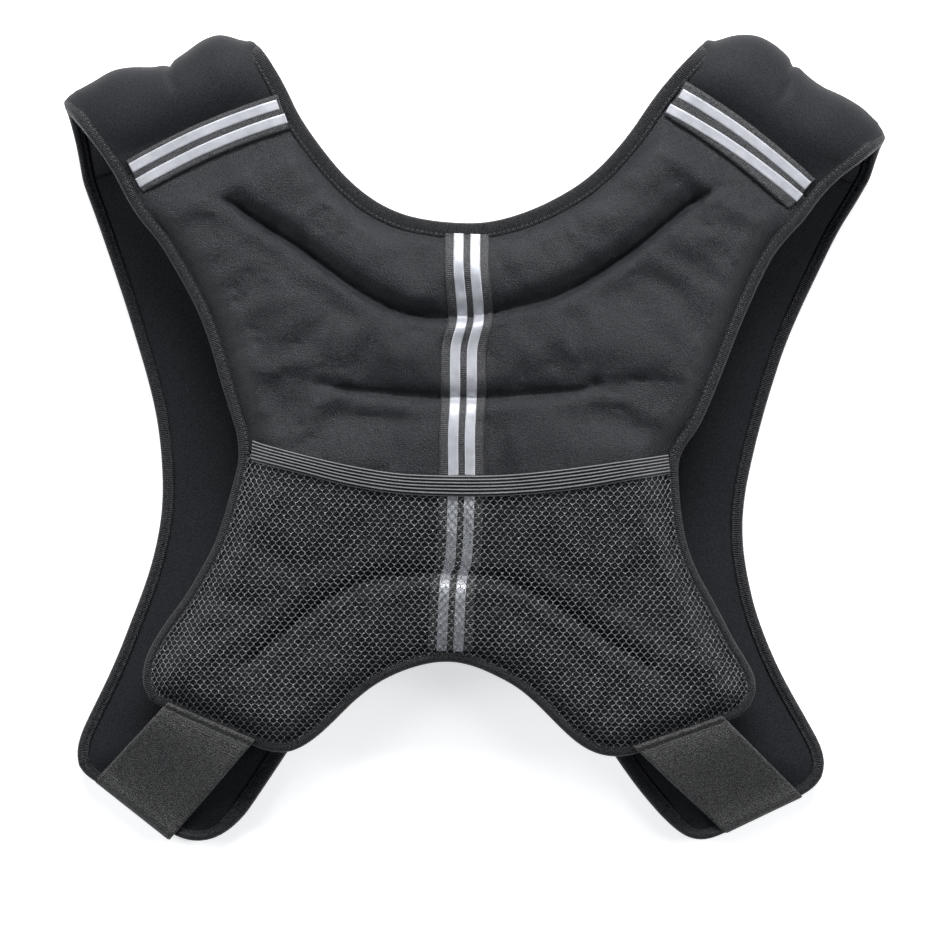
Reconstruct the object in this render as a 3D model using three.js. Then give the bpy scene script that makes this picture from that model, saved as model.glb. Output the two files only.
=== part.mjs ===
// A weighted vest, closed and lying flat on its front, with the quilted back panel up.
// Millimetres, +Z up, +Y towards the shoulders, +X to the wearer's right.
// The vest is two layers: two front panels on the surface and one X-shaped back panel above them.
// Padded straps turn over the top fold and join the layers there, elastic straps join them at the sides.

import * as THREE from 'three';
import { mergeVertices } from 'three/addons/utils/BufferGeometryUtils.js';

// Outline sizes
const halfSpan = 212;        // centre line to the outer shoulder corner
const shoulderRise = 212;    // waist line to the top fold
const backDrop = 163;        // waist line to the lowest point of the back panel
const frontDrop = 209.5;     // waist line to the lowest point of the front panels

// Heights of the middle of each layer
const frontHeight = 8;
const backHeightShoulder = 42;
const backHeightWaist = 38;
const backHeightHem = 28;
const backCrown = 3;         // how far the back panel is higher along its centre line

// Padding, measured each way from the middle of its layer
const backPadUp = 12;
const backPadDown = 8;
const frontPadUp = 8;
const frontPadDown = 8;
const shoulderPadOut = 8;
const shoulderPadIn = 6;
const edgeReach = 27;        // width over which the back padding rises from its edge
const frontReach = 34;       // the same on the front panels
const quiltReach = 23;       // the same from a quilting seam
const quiltFloor = 0.34;     // padding left at the bottom of a seam, as a share
const seamPad = 4;           // padding left under the shoulder tapes

// Edge binding: a folded tape over the thin rim of each panel
const rimHalf = 2;           // half the rim's thickness
const rimWidth = 7.6;
const bindingWall = 1.2;
const bindingTaper = 0.86;    // height of the binding's outer edge, as a share of its middle's
const neckBindingWidth = 8;
const armBindingWidth = 6;
const frontBindingWidth = 5.4;
const clearance = 0.35;      // gap between pieces that touch

// Webbing, reflective stripes and elastic
const shoulderTapeWidth = 22;
const centreTapeWidth = 23.4;
const tapeThickness = 1.4;
const stripeWidth = 5.3;
const stripeSpread = 4.3;    // middle of the tape to the middle of a stripe
const shoulderStripeSpread = 4.6;
const stripeThickness = 0.5;
const bandWidth = 11.6;
const bandThickness = 1.8;
const bandSag = 14.5;        // how far the middle of the pocket's edge hangs below its ends
const netThickness = 1.1;
const netColumns = 10;
const netRows = 6;
const netOpen = 0.66;        // size of a hole as a share of its cell
const sideStrapWidth = 46;
const sideStrapThickness = 1.6;
const sideStrapOverlap = 4;  // how far its sewn end lies on the back panel
const sideStrapTuck = 11;    // how far its other end reaches under the front panel

// Hidden closure across the front
const chestStrapWidth = 25;
const chestStrapThickness = 1.8;
const chestStrapTuck = 5;    // how far its ends reach under the front panels
const claspLength = 44;
const claspWidth = 33;
const claspThickness = 6.4;

// How the vest has settled as it lies: the right side has slid up a little, more at the neck
const rackFront = 0.027;
const rackWaist = 0.02;
const rackNeck = 0.045;
const rackTurn = 1.15;       // the outer shoulder corners have slid back the other way
const rackTurnFrom = 0.74;   // where that starts, as a share of halfSpan

// Outline of the right half of the back panel, from the shoulder seam to the lobe.
// inX, inY: neckline, centre line, arch. outX, outY: arm edge. x is a share of halfSpan,
// y a share of shoulderRise where it is positive and of backDrop where it is negative.
const backRows = [
  { inX: 0.438, inY: 0.844, outX: 0.848, outY: 0.606 },
  { inX: 0.396, inY: 0.771, outX: 0.804, outY: 0.540 },
  { inX: 0.342, inY: 0.700, outX: 0.757, outY: 0.476 },
  { inX: 0.264, inY: 0.621, outX: 0.712, outY: 0.406 },
  { inX: 0.179, inY: 0.575, outX: 0.675, outY: 0.330 },
  { inX: 0.090, inY: 0.546, outX: 0.644, outY: 0.255 },
  { inX: 0.000, inY: 0.535, outX: 0.616, outY: 0.179 },
  { inX: 0.000, inY: 0.358, outX: 0.590, outY: 0.104 },
  { inX: 0.000, inY: 0.179, outX: 0.561, outY: 0.033 },
  { inX: 0.000, inY: 0.000, outX: 0.534, outY: -0.037 },
  { inX: 0.000, inY: -0.233, outX: 0.539, outY: -0.123 },
  { inX: 0.000, inY: -0.466, outX: 0.557, outY: -0.233 },
  { inX: 0.000, inY: -0.696, outX: 0.590, outY: -0.368 },
  { inX: 0.090, inY: -0.718, outX: 0.627, outY: -0.460 },
  { inX: 0.179, inY: -0.776, outX: 0.672, outY: -0.561 },
  { inX: 0.264, inY: -0.874, outX: 0.717, outY: -0.656 },
  { inX: 0.340, inY: -0.963, outX: 0.745, outY: -0.742 },
  { inX: 0.396, inY: -0.994, outX: 0.736, outY: -0.822 },
];
const neckRow = 6;           // row where the neckline meets the centre line
const waistRow = 9;          // row at the pocket's edge, the narrowest point
const archRow = 12;          // row where the centre line meets the arch
const backHem = [
  { x: 0.396, y: -0.994 },
  { x: 0.472, y: -0.972 },
  { x: 0.566, y: -0.926 },
  { x: 0.660, y: -0.877 },
  { x: 0.712, y: -0.850 },
  { x: 0.736, y: -0.822 },
];

// Outline of the right front panel, from its shoulder seam to its lower end.
// in: the front opening's edge. out: the arm edge. Negative y is a share of frontDrop.
const frontRows = [
  { inX: 0.476, inY: 0.807, outX: 0.969, outY: 0.651 },
  { inX: 0.396, inY: 0.698, outX: 0.922, outY: 0.547 },
  { inX: 0.311, inY: 0.590, outX: 0.877, outY: 0.434 },
  { inX: 0.236, inY: 0.481, outX: 0.835, outY: 0.330 },
  { inX: 0.184, inY: 0.363, outX: 0.797, outY: 0.222 },
  { inX: 0.156, inY: 0.226, outX: 0.764, outY: 0.113 },
  { inX: 0.149, inY: 0.075, outX: 0.741, outY: 0.009 },
  { inX: 0.149, inY: -0.076, outX: 0.724, outY: -0.095 },
  { inX: 0.151, inY: -0.229, outX: 0.722, outY: -0.200 },
  { inX: 0.179, inY: -0.382, outX: 0.736, outY: -0.310 },
  { inX: 0.255, inY: -0.535, outX: 0.771, outY: -0.425 },
  { inX: 0.358, inY: -0.706, outX: 0.821, outY: -0.544 },
  { inX: 0.491, inY: -0.900, outX: 0.896, outY: -0.702 },
  { inX: 0.578, inY: -0.987, outX: 0.927, outY: -0.807 },
];
const frontHem = [
  { x: 0.578, y: -0.987 },
  { x: 0.618, y: -1.000 },
  { x: 0.651, y: -0.998 },
  { x: 0.689, y: -0.986 },
  { x: 0.783, y: -0.926 },
  { x: 0.882, y: -0.864 },
  { x: 0.927, y: -0.807 },
];

// Top fold of a shoulder pad, from the neck edge (across 0) to the arm edge (across 1).
// bulge: how far the fold stands out past its straight line, as a share of the fold's radius.
const foldNeck = { x: 0.561, y: 0.991 };
const foldArm = { x: 1.000, y: 0.792 };
const foldRows = [
  { across: 0.00, bulge: 0.00 },
  { across: 0.12, bulge: 0.10 },
  { across: 0.28, bulge: 0.26 },
  { across: 0.42, bulge: 0.12 },
  { across: 0.53, bulge: 0.00 },
  { across: 0.66, bulge: 0.08 },
  { across: 0.80, bulge: 0.18 },
  { across: 0.92, bulge: 0.06 },
  { across: 1.00, bulge: 0.00 },
];

// Quilting seams of the back, right half, as shares like the outline's. depth 1 is a full seam.
const quilting = [
  {
    depth: 1,
    points: [
      { x: 0.000, y: 0.307 },
      { x: 0.099, y: 0.325 },
      { x: 0.269, y: 0.392 },
      { x: 0.415, y: 0.491 },
      { x: 0.505, y: 0.552 },
      { x: 0.613, y: 0.606 },
    ],
  },
  {
    depth: 0.7,
    points: [
      { x: 0.000, y: 0.113 },
      { x: 0.179, y: 0.123 },
      { x: 0.311, y: 0.142 },
    ],
  },
  {
    depth: 1,
    points: [
      { x: 0.000, y: -0.414 },
      { x: 0.104, y: -0.420 },
      { x: 0.212, y: -0.454 },
      { x: 0.349, y: -0.558 },
      { x: 0.425, y: -0.632 },
      { x: 0.519, y: -0.730 },
    ],
  },
];

// Heights of the chest straps, as shares of shoulderRise and frontDrop
const upperChestStrap = 0.30;
const lowerChestStrap = -0.24;

const rimLine = clearance + bindingWall;           // finished edge to the rim of the padding's shell
const bindingTop = rimHalf + rimLine;              // middle of a layer to the top of its binding
const padLine = rimLine + rimWidth;                // finished edge to where the padding starts
const frontTop = frontHeight + frontPadUp;         // highest point of the front panels
const up = new THREE.Vector3(0, 0, 1);

// Small helpers for plan points, curves and blends

function along(y, drop) {
  return y >= 0 ? y * shoulderRise : y * drop;
}

function plan(x, y, drop) {
  return new THREE.Vector3(x * halfSpan, along(y, drop), 0);
}

function mix(a, b, t) {
  return a.clone().lerp(b, t);
}

function ease(t) {
  const c = Math.min(1, Math.max(0, t));
  return c * c * (3 - 2 * c);
}

function swell(t) {
  return Math.sin(Math.min(1, Math.max(0, t)) * Math.PI / 2);
}

// A curve through points, read by point number, so 2.5 lies between the third and the fourth.
function curveThrough(points) {
  const curve = new THREE.CatmullRomCurve3(points, false, 'centripetal');
  return (index) => curve.getPoint(index / (points.length - 1));
}

function distanceTo(line, x, y) {
  let best = Infinity;
  for (let i = 0; i + 1 < line.length; i += 1) {
    const dx = line[i + 1].x - line[i].x;
    const dy = line[i + 1].y - line[i].y;
    const px = x - line[i].x;
    const py = y - line[i].y;
    const t = Math.min(1, Math.max(0, (px * dx + py * dy) / (dx * dx + dy * dy)));
    best = Math.min(best, Math.hypot(px - t * dx, py - t * dy));
  }
  return best;
}

function nearestOn(line, x, y) {
  let best = { gap: Infinity, x, y };
  for (let i = 0; i + 1 < line.length; i += 1) {
    const dx = line[i + 1].x - line[i].x;
    const dy = line[i + 1].y - line[i].y;
    const t = Math.min(1, Math.max(0,
      ((x - line[i].x) * dx + (y - line[i].y) * dy) / (dx * dx + dy * dy)));
    const qx = line[i].x + t * dx;
    const qy = line[i].y + t * dy;
    const gap = Math.hypot(x - qx, y - qy);
    if (gap < best.gap) {
      best = { gap, x: qx, y: qy };
    }
  }
  return best;
}

// How the settled vest lies: a gentle shear, the same for everything at one place
function settle(p) {
  const lift = (p.z - frontTop) / (backHeightShoulder - frontTop);
  const back = ease(lift);
  const outward = (Math.abs(p.x) / halfSpan - rackTurnFrom) / (1 - rackTurnFrom);
  const corner = 1 - rackTurn * ease(outward);
  const rackBack = (rackWaist + rackNeck * p.y / shoulderRise) * corner;
  p.y += p.x * (rackFront * (1 - back) + rackBack * back);
  return p;
}

// Meshes

const vest = new THREE.Group();

function material(color, roughness) {
  return new THREE.MeshStandardMaterial({ color, roughness, metalness: 0 });
}

const brushed = material(0x2c2e31, 0.85);
const smooth = material(0x1d1e20, 0.75);
const bindingCloth = material(0x17181a, 0.8);
const webbing = material(0x141516, 0.85);
const silver = material(0xa9adb0, 0.45);
const net = material(0x6f7275, 0.8);
const elastic = material(0x1a1b1d, 0.85);
const plastic = material(0x121212, 0.5);

// Triangles are flat lists of points, three to a triangle.
function quad(list, a, b, c, d) {
  list.push(a, b, c, a, c, d);
}

function mirrored(list) {
  const out = [];
  for (let i = 0; i < list.length; i += 3) {
    for (const p of [list[i], list[i + 2], list[i + 1]]) {
      out.push(new THREE.Vector3(-p.x, p.y, p.z));
    }
  }
  return out;
}

function addMesh(name, finish, list) {
  const flat = [];
  for (const p of list) {
    const q = settle(p.clone());
    flat.push(q.x, q.y, q.z);
  }
  let geometry = new THREE.BufferGeometry();
  geometry.setAttribute('position', new THREE.Float32BufferAttribute(flat, 3));
  geometry = mergeVertices(geometry, 1e-3);
  if (signedVolume(geometry) < 0) {
    const order = geometry.index.array;
    for (let i = 0; i < order.length; i += 3) {
      [order[i + 1], order[i + 2]] = [order[i + 2], order[i + 1]];
    }
  }
  geometry.computeVertexNormals();
  const mesh = new THREE.Mesh(geometry, finish);
  mesh.name = name;
  vest.add(mesh);
}

function signedVolume(geometry) {
  const place = geometry.attributes.position;
  const order = geometry.index.array;
  const a = new THREE.Vector3();
  const b = new THREE.Vector3();
  const c = new THREE.Vector3();
  let volume = 0;
  for (let i = 0; i < order.length; i += 3) {
    a.fromBufferAttribute(place, order[i]);
    b.fromBufferAttribute(place, order[i + 1]);
    c.fromBufferAttribute(place, order[i + 2]);
    volume += a.dot(b.cross(c)) / 6;
  }
  return volume;
}

// Closes a grid of top points over a grid of bottom points. openRow says at which rows the
// first column has no wall, because the mirrored half carries on there.
function slab(top, bottom, openRow = () => false) {
  const list = [];
  const rows = top.length - 1;
  const columns = top[0].length - 1;
  for (let j = 0; j < rows; j += 1) {
    for (let i = 0; i < columns; i += 1) {
      quad(list, top[j][i], top[j + 1][i], top[j + 1][i + 1], top[j][i + 1]);
      quad(list, bottom[j][i], bottom[j][i + 1], bottom[j + 1][i + 1], bottom[j + 1][i]);
    }
    if (!openRow(j)) {
      quad(list, top[j][0], bottom[j][0], bottom[j + 1][0], top[j + 1][0]);
    }
    quad(list, top[j][columns], top[j + 1][columns], bottom[j + 1][columns], bottom[j][columns]);
  }
  for (let i = 0; i < columns; i += 1) {
    quad(list, top[0][i], top[0][i + 1], bottom[0][i + 1], bottom[0][i]);
    quad(list, top[rows][i], bottom[rows][i], bottom[rows][i + 1], top[rows][i + 1]);
  }
  return list;
}

// Binding: a folded tape along a rim. Each station has the rim's edge, the direction inward
// over the padding and the direction out of the layer.
function foldedTape(stations, width) {
  const leg = width - rimLine;
  const inside = rimHalf + clearance;
  const outside = bindingTop;
  const section = [
    [leg, outside],
    [-rimLine, outside * bindingTaper],
    [-rimLine, -outside * bindingTaper],
    [leg, -outside],
    [leg, -inside],
    [-clearance, -inside],
    [-clearance, inside],
    [leg, inside],
  ];
  const rings = stations.map((s) => section.map(([inward, outward]) => s.edge.clone()
    .addScaledVector(s.inward, inward)
    .addScaledVector(s.normal, outward)));
  const list = [];
  const count = section.length;
  for (let r = 0; r + 1 < rings.length; r += 1) {
    for (let k = 0; k < count; k += 1) {
      const n = (k + 1) % count;
      quad(list, rings[r][k], rings[r][n], rings[r + 1][n], rings[r + 1][k]);
    }
  }
  const caps = [[0, 1, 6, 7], [1, 2, 5, 6], [2, 3, 4, 5]];
  const first = rings[0];
  const last = rings[rings.length - 1];
  for (const [a, b, c, d] of caps) {
    quad(list, first[d], first[c], first[b], first[a]);
    quad(list, last[a], last[b], last[c], last[d]);
  }
  return list;
}

// Ribbon: stations with a left and a right edge point of its underside, and its thickness
function ribbon(stations, thickness) {
  const top = stations.map((s) => s.map((p) => p.clone().addScaledVector(up, thickness)));
  return slab(top, stations);
}

// Turns an outline into stations: the finished edge, the rim's edge, the direction inward
function stationsOf(points, inwardAt) {
  return points.map((p, k) => {
    const before = points[Math.max(0, k - 1)];
    const after = points[Math.min(points.length - 1, k + 1)];
    const run = after.clone().sub(before).normalize();
    const inward = inwardAt[k] ?? new THREE.Vector3(-run.y, run.x, 0);
    return { finished: p, inward, edge: p.clone().addScaledVector(inward, rimLine), normal: up };
  });
}

// A padded half panel

// Fills the grid between four rows of points, so that it follows all four
function blendGrid(left, right, first, last) {
  const rows = left.length - 1;
  const columns = first.length - 1;
  const grid = [];
  for (let j = 0; j <= rows; j += 1) {
    const v = j / rows;
    const row = [];
    for (let i = 0; i <= columns; i += 1) {
      const u = i / columns;
      const sides = mix(left[j], right[j], u);
      const ends = mix(first[i], last[i], v);
      const corners = mix(mix(first[0], first[columns], u), mix(last[0], last[columns], u), v);
      row.push(sides.add(ends).sub(corners));
    }
    grid.push(row);
  }
  return grid;
}

// Lays out one half panel. inner, outer and hem are finished edges, all from the shoulder seam
// or from the inner side on. Its loop runs down the inner edge, along the hem and up the outer.
function layOut(inner, outer, hem, fixed) {
  const rows = inner.length - 1;
  const columns = hem.length - 1;
  const loop = [...inner, ...hem.slice(1, -1), ...outer.slice().reverse()];
  const seamRun = outer[0].clone().sub(inner[0]).normalize();
  const inwardAt = { ...fixed, 0: seamRun, [loop.length - 1]: seamRun.clone().negate() };
  const stations = stationsOf(loop, inwardAt);
  const innerStations = stations.slice(0, rows + 1);
  const hemStations = stations.slice(rows, rows + columns + 1);
  const outerStations = stations.slice(rows + columns).reverse();
  return { rows, columns, innerStations, hemStations, outerStations, seamRun };
}

function padPoint(station) {
  return station.finished.clone().addScaledVector(station.inward, padLine);
}

// The grid of plan points of a half panel: its rim outside, its padding inside
function gridOf(layout, corners) {
  const { rows, columns, innerStations, hemStations, outerStations } = layout;
  const innerPad = innerStations.slice(0, rows).map(padPoint);
  const outerPad = outerStations.slice(0, rows).map(padPoint);
  const hemPad = hemStations.slice(1, columns).map(padPoint);
  innerPad[rows - 1] = padPoint(innerStations[rows]);
  outerPad[rows - 1] = padPoint(outerStations[rows]);
  hemPad[0] = innerPad[rows - 1];
  hemPad[columns - 2] = outerPad[rows - 1];
  for (const [row, place] of Object.entries(corners)) {
    innerPad[row] = place;
  }
  const seam = hemPad.map((p, i) => mix(innerPad[0], outerPad[0], i / (columns - 2)));
  const inside = blendGrid(innerPad, outerPad, seam, hemPad);
  const grid = [];
  for (let j = 0; j < rows; j += 1) {
    grid.push([innerStations[j].edge, ...inside[j], outerStations[j].edge]);
  }
  grid.push(hemStations.map((s) => s.edge));
  return grid;
}

// Back panel

const backIn = backRows.map((r) => plan(r.inX, r.inY, backDrop));
const backOut = backRows.map((r) => plan(r.outX, r.outY, backDrop));
const mirrorPoint = (p) => new THREE.Vector3(-p.x, p.y, p.z);
const neckCurve = curveThrough([...backIn.slice(0, neckRow + 1), mirrorPoint(backIn[neckRow - 1])]);
const archCurve = curveThrough([mirrorPoint(backIn[archRow + 1]), ...backIn.slice(archRow)]);
const armUpper = curveThrough(backOut.slice(0, waistRow + 1));
const armLower = curveThrough(backOut.slice(waistRow));
const hemCurve = curveThrough(backHem.map((p) => plan(p.x, p.y, backDrop)));
const backEnd = backRows.length - 1;

function backOuterAt(t) {
  return t <= waistRow ? armUpper(t) : armLower(t - waistRow);
}

// Row numbers in the table, for each row of the grid
const neckSteps = 9;
const middleSteps = 14;
const archSteps = 6;
const lastRimStep = 0.7;     // the row before the hem lies about a rim's width from it
const backSteps = [];
for (let k = 0; k < neckSteps; k += 1) {
  backSteps.push(neckRow * k / neckSteps);
}
for (let k = 0; k < middleSteps; k += 1) {
  backSteps.push(neckRow + (archRow - neckRow) * k / middleSteps);
}
for (let k = 0; k <= archSteps; k += 1) {
  backSteps.push(archRow + (backEnd - lastRimStep - archRow) * k / archSteps);
}
backSteps.push(backEnd);

// The centre line's points: a rim's width clear of the neckline and of the arch, then even steps
const neckBottom = backIn[neckRow].y;
const archTop = backIn[archRow].y;

function backInnerAt(t) {
  if (t <= neckRow) {
    return neckCurve(t);
  }
  if (t >= archRow) {
    return archCurve(t - archRow + 1);
  }
  const steps = middleSteps - 2;
  const k = Math.round((t - neckRow) / (archRow - neckRow) * middleSteps) - 1;
  return new THREE.Vector3(0, THREE.MathUtils.lerp(neckBottom - padLine, archTop + padLine, k / steps), 0);
}

// Columns of the grid along the lobe's hem, as places between the points of backHem
const hemSteps = [0, 0.6, 1.1, 1.65, 2.2, 2.7, 3.2, 3.7, 4.3, 5];
const cornerPull = 0.9;      // keeps the corners of the padding near the centre line evenly spaced
const backInner = backSteps.map(backInnerAt);
const backOuter = backSteps.map(backOuterAt);
const backHemLine = hemSteps.map((t) => hemCurve(t));
const neckIndex = neckSteps;
const archIndex = neckSteps + middleSteps;
const backLayout = layOut(backInner, backOuter, backHemLine, {
  [neckIndex]: new THREE.Vector3(0, -1, 0),
  [archIndex]: new THREE.Vector3(0, 1, 0),
});
const backGrid = gridOf(backLayout, {
  [neckIndex]: new THREE.Vector3(cornerPull * padLine, neckBottom - padLine, 0),
  [archIndex]: new THREE.Vector3(cornerPull * padLine, archTop + padLine, 0),
});

// Centre-line points have no rim of their own
for (let j = neckIndex + 1; j < archIndex; j += 1) {
  backGrid[j][0] = backInner[j];
}

const backRimLines = [
  backInner.slice(0, neckIndex + 1),
  backOuter,
  backHemLine,
  backInner.slice(archIndex),
];
const shoulderSeam = [backInner[0], backOuter[0]];
const seams = quilting.map((q) => {
  const curve = curveThrough(q.points.map((p) => plan(p.x, p.y, backDrop)));
  const line = [];
  for (let t = 0; t <= q.points.length - 1; t += 0.5) {
    line.push(curve(t));
  }
  return { depth: q.depth, line };
});

// Pulls grid points that lie close to a seam onto it, so that each seam is a crisp valley
const snapReach = 5.5;
for (let j = 1; j < backGrid.length - 2; j += 1) {
  for (let i = 2; i < backLayout.columns - 1; i += 1) {
    const p = backGrid[j][i];
    for (const seam of seams) {
      const near = nearestOn(seam.line, p.x, p.y);
      if (near.gap < snapReach) {
        backGrid[j][i] = new THREE.Vector3(near.x, near.y, 0);
      }
    }
  }
}

function backMiddle(x, y) {
  const level = y >= 0
    ? THREE.MathUtils.lerp(backHeightWaist, backHeightShoulder, y / backInner[0].y)
    : THREE.MathUtils.lerp(backHeightWaist, backHeightHem, y / archCurve(backEnd - archRow + 1).y);
  const side = Math.min(1, Math.abs(x) / halfSpan);
  return level + backCrown * (1 - side * side) * ease((shoulderRise - y) / shoulderRise);
}

// Share of full padding at a place: none at the rim, a little at a seam, all between them
function backFill(x, y) {
  const rim = Math.min(...backRimLines.map((line) => distanceTo(line, x, y)));
  let fill = swell((rim - padLine) / edgeReach);
  for (const seam of seams) {
    const floor = 1 - seam.depth * (1 - quiltFloor);
    const gap = distanceTo(seam.line, Math.abs(x), y);
    fill = Math.min(fill, Math.max(floor, 0) + (1 - floor) * swell(gap / quiltReach));
  }
  return fill;
}

function backHeights(x, y) {
  const middle = backMiddle(x, y);
  const fill = backFill(x, y);
  const channel = ease((distanceTo(shoulderSeam, x, y) - shoulderTapeWidth / 2) / quiltReach);
  const fullUp = THREE.MathUtils.lerp(seamPad, backPadUp, channel);
  const fullDown = THREE.MathUtils.lerp(seamPad, backPadDown, channel);
  return {
    top: middle + rimHalf + (fullUp - rimHalf) * fill,
    bottom: middle - rimHalf - (fullDown - rimHalf) * fill,
  };
}

function raised(grid, heights) {
  const top = grid.map((row) => row.map((p) => new THREE.Vector3(p.x, p.y, heights(p.x, p.y).top)));
  const bottom = grid.map((row) => row.map((p) => new THREE.Vector3(p.x, p.y, heights(p.x, p.y).bottom)));
  return { top, bottom };
}

// The seam end of the panel stops half a clearance short of the seam line
const seamNormal = new THREE.Vector3(-backLayout.seamRun.y, backLayout.seamRun.x, 0);
for (let i = 0; i <= backLayout.columns; i += 1) {
  backGrid[0][i] = backGrid[0][i].clone().addScaledVector(seamNormal, -clearance / 2);
}
const backSurface = raised(backGrid, backHeights);
const backHalf = slab(backSurface.top, backSurface.bottom, (j) => j >= neckIndex && j < archIndex);
const backList = [...backHalf, ...mirrored(backHalf)];
addMesh('back_panel', brushed, backList);

// Front panels

const frontIn = curveThrough(frontRows.map((r) => plan(r.inX, r.inY, frontDrop)));
const frontOut = curveThrough(frontRows.map((r) => plan(r.outX, r.outY, frontDrop)));
const frontHemCurve = curveThrough(frontHem.map((p) => plan(p.x, p.y, frontDrop)));
const frontEnd = frontRows.length - 1;
const frontSteps = [];
const frontCount = 18;
const lastFrontStep = 0.45;  // the row before the hem lies about a rim's width from it
for (let k = 0; k < frontCount; k += 1) {
  frontSteps.push((frontEnd - lastFrontStep) * k / (frontCount - 1));
}
frontSteps.push(frontEnd);
// Columns of the grid along the hem, as places between the points of frontHem
const frontHemSteps = [0, 1.1, 2.1, 3.1, 4, 4.6, 5.4, 6];
const frontInner = frontSteps.map((t) => frontIn(t));
const frontOuter = frontSteps.map((t) => frontOut(t));
const frontHemLine = frontHemSteps.map((t) => frontHemCurve(t));
const frontLayout = layOut(frontInner, frontOuter, frontHemLine, {});
const frontGrid = gridOf(frontLayout, {});
const frontSeam = [frontInner[0], frontOuter[0]];
const frontLoop = [frontInner, frontHemLine, frontOuter];

const frontSeamFill = 0.35;  // padding left at the seam to the shoulder pad, as a share
const undersideFull = 1.12;  // presses the underside flat where it lies on the floor

function frontHeights(x, y) {
  const rim = Math.min(...frontLoop.map((line) => distanceTo(line, x, y)));
  const seamGap = distanceTo(frontSeam, x, y);
  const fill = swell((rim - padLine) / frontReach);
  const full = Math.min(1, frontSeamFill + (1 - frontSeamFill) * swell(seamGap / quiltReach));
  const rise = rimHalf + (frontPadUp - rimHalf) * fill * full;
  const sink = rimHalf + (frontPadDown * undersideFull - rimHalf) * fill * full;
  return { top: frontHeight + rise, bottom: Math.max(0, frontHeight - sink) };
}

const frontSeamNormal = new THREE.Vector3(-frontLayout.seamRun.y, frontLayout.seamRun.x, 0);
for (let i = 0; i <= frontLayout.columns; i += 1) {
  frontGrid[0][i] = frontGrid[0][i].clone().addScaledVector(frontSeamNormal, -clearance / 2);
}
const frontSurface = raised(frontGrid, frontHeights);
const frontList = slab(frontSurface.top, frontSurface.bottom);
addMesh('front_wing_right', smooth, frontList);
addMesh('front_wing_left', smooth, mirrored(frontList));

// Shoulder pads: from the seam on the back, over the fold, to the seam on the front

const foldStart = plan(foldNeck.x, foldNeck.y, backDrop);
const foldEnd = plan(foldArm.x, foldArm.y, backDrop);
const foldRun = foldEnd.clone().sub(foldStart).normalize();
const foldOut = new THREE.Vector3(-foldRun.y, foldRun.x, 0);
const foldRadius = (backHeightShoulder - frontHeight) / 2;
const padWidth = foldEnd.distanceTo(foldStart);
const foldSlideBack = -0.14; // how far the fold's arm end slides along it on the back, in radii
const foldSlideFront = 0.4;  // the same on the front
const turnSteps = 6;
const upperSteps = 3;
const lowerSteps = 2;

function bulgeAt(place) {
  const rim = padLine / padWidth;
  const across = Math.min(1, Math.max(0, (place - rim) / (1 - 2 * rim)));
  const k = foldRows.findIndex((r) => r.across >= across);
  if (k <= 0) {
    return 0;
  }
  const before = foldRows[k - 1];
  const after = foldRows[k];
  const t = (across - before.across) / (after.across - before.across);
  return THREE.MathUtils.lerp(before.bulge, after.bulge, ease(t)) * foldRadius;
}

// The middle of the pad at a share across it: its path from seam to seam with the way out of it
function padPath(across) {
  const fold = mix(foldStart, foldEnd, across).addScaledVector(foldOut, bulgeAt(across) - bindingTop);
  const start = mix(backInner[0], backOuter[0], across).addScaledVector(seamNormal, clearance / 2);
  const end = mix(frontInner[0], frontOuter[0], across).addScaledVector(frontSeamNormal, clearance / 2);
  const turnIn = fold.clone().addScaledVector(foldOut, -foldRadius);
  const upper = turnIn.clone().addScaledVector(foldRun, foldSlideBack * foldRadius * across);
  const lower = turnIn.clone().addScaledVector(foldRun, foldSlideFront * foldRadius * across);
  const path = [];
  for (let k = 0; k < upperSteps; k += 1) {
    const p = mix(start, upper, k / upperSteps);
    path.push({ p: p.setZ(backMiddle(p.x, p.y)), normal: up.clone(), turn: 0 });
  }
  for (let k = 0; k <= turnSteps; k += 1) {
    const angle = Math.PI * k / turnSteps;
    const top = backMiddle(upper.x, upper.y);
    const centre = (top + frontHeight) / 2;
    const p = mix(upper, lower, (1 - Math.cos(angle)) / 2);
    p.addScaledVector(foldOut, foldRadius * Math.sin(angle));
    p.setZ(centre + (top - frontHeight) / 2 * Math.cos(angle));
    const normal = up.clone().multiplyScalar(Math.cos(angle)).addScaledVector(foldOut, Math.sin(angle));
    path.push({ p, normal, turn: Math.sin(angle) });
  }
  for (let k = 1; k <= lowerSteps; k += 1) {
    const p = mix(lower, end, k / lowerSteps);
    path.push({ p: p.setZ(frontHeight), normal: up.clone().negate(), turn: 0 });
  }
  return path;
}

const padColumns = [0, padLine / padWidth, 0.25, 0.39, 0.53, 0.66, 0.79, 1 - padLine / padWidth, 1];
const padPaths = padColumns.map((across) => padPath(across));
const padRows = padPaths[0].length - 1;
const backSeamFill = 0.3;    // padding left at the seam to the back panel, as a share
const creaseAt = 0.53;
const creaseReach = 0.16;
const creaseDepth = 0.35;

function padFill(across, path, k) {
  const side = Math.min(across, 1 - across) * padWidth;
  const rim = swell((side - padLine) / edgeReach);
  const fromBack = path[k].p.distanceTo(path[0].p) - shoulderTapeWidth / 2;
  const fromFront = path[k].p.distanceTo(path[padRows].p);
  const backEase = backSeamFill + (1 - backSeamFill) * swell(fromBack / quiltReach);
  const frontEase = frontSeamFill + (1 - frontSeamFill) * swell(fromFront / quiltReach);
  const crease = 1 - creaseDepth * path[k].turn * (1 - swell(Math.abs(across - creaseAt) / creaseReach));
  return rim * Math.min(backEase, frontEase) * crease;
}

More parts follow.
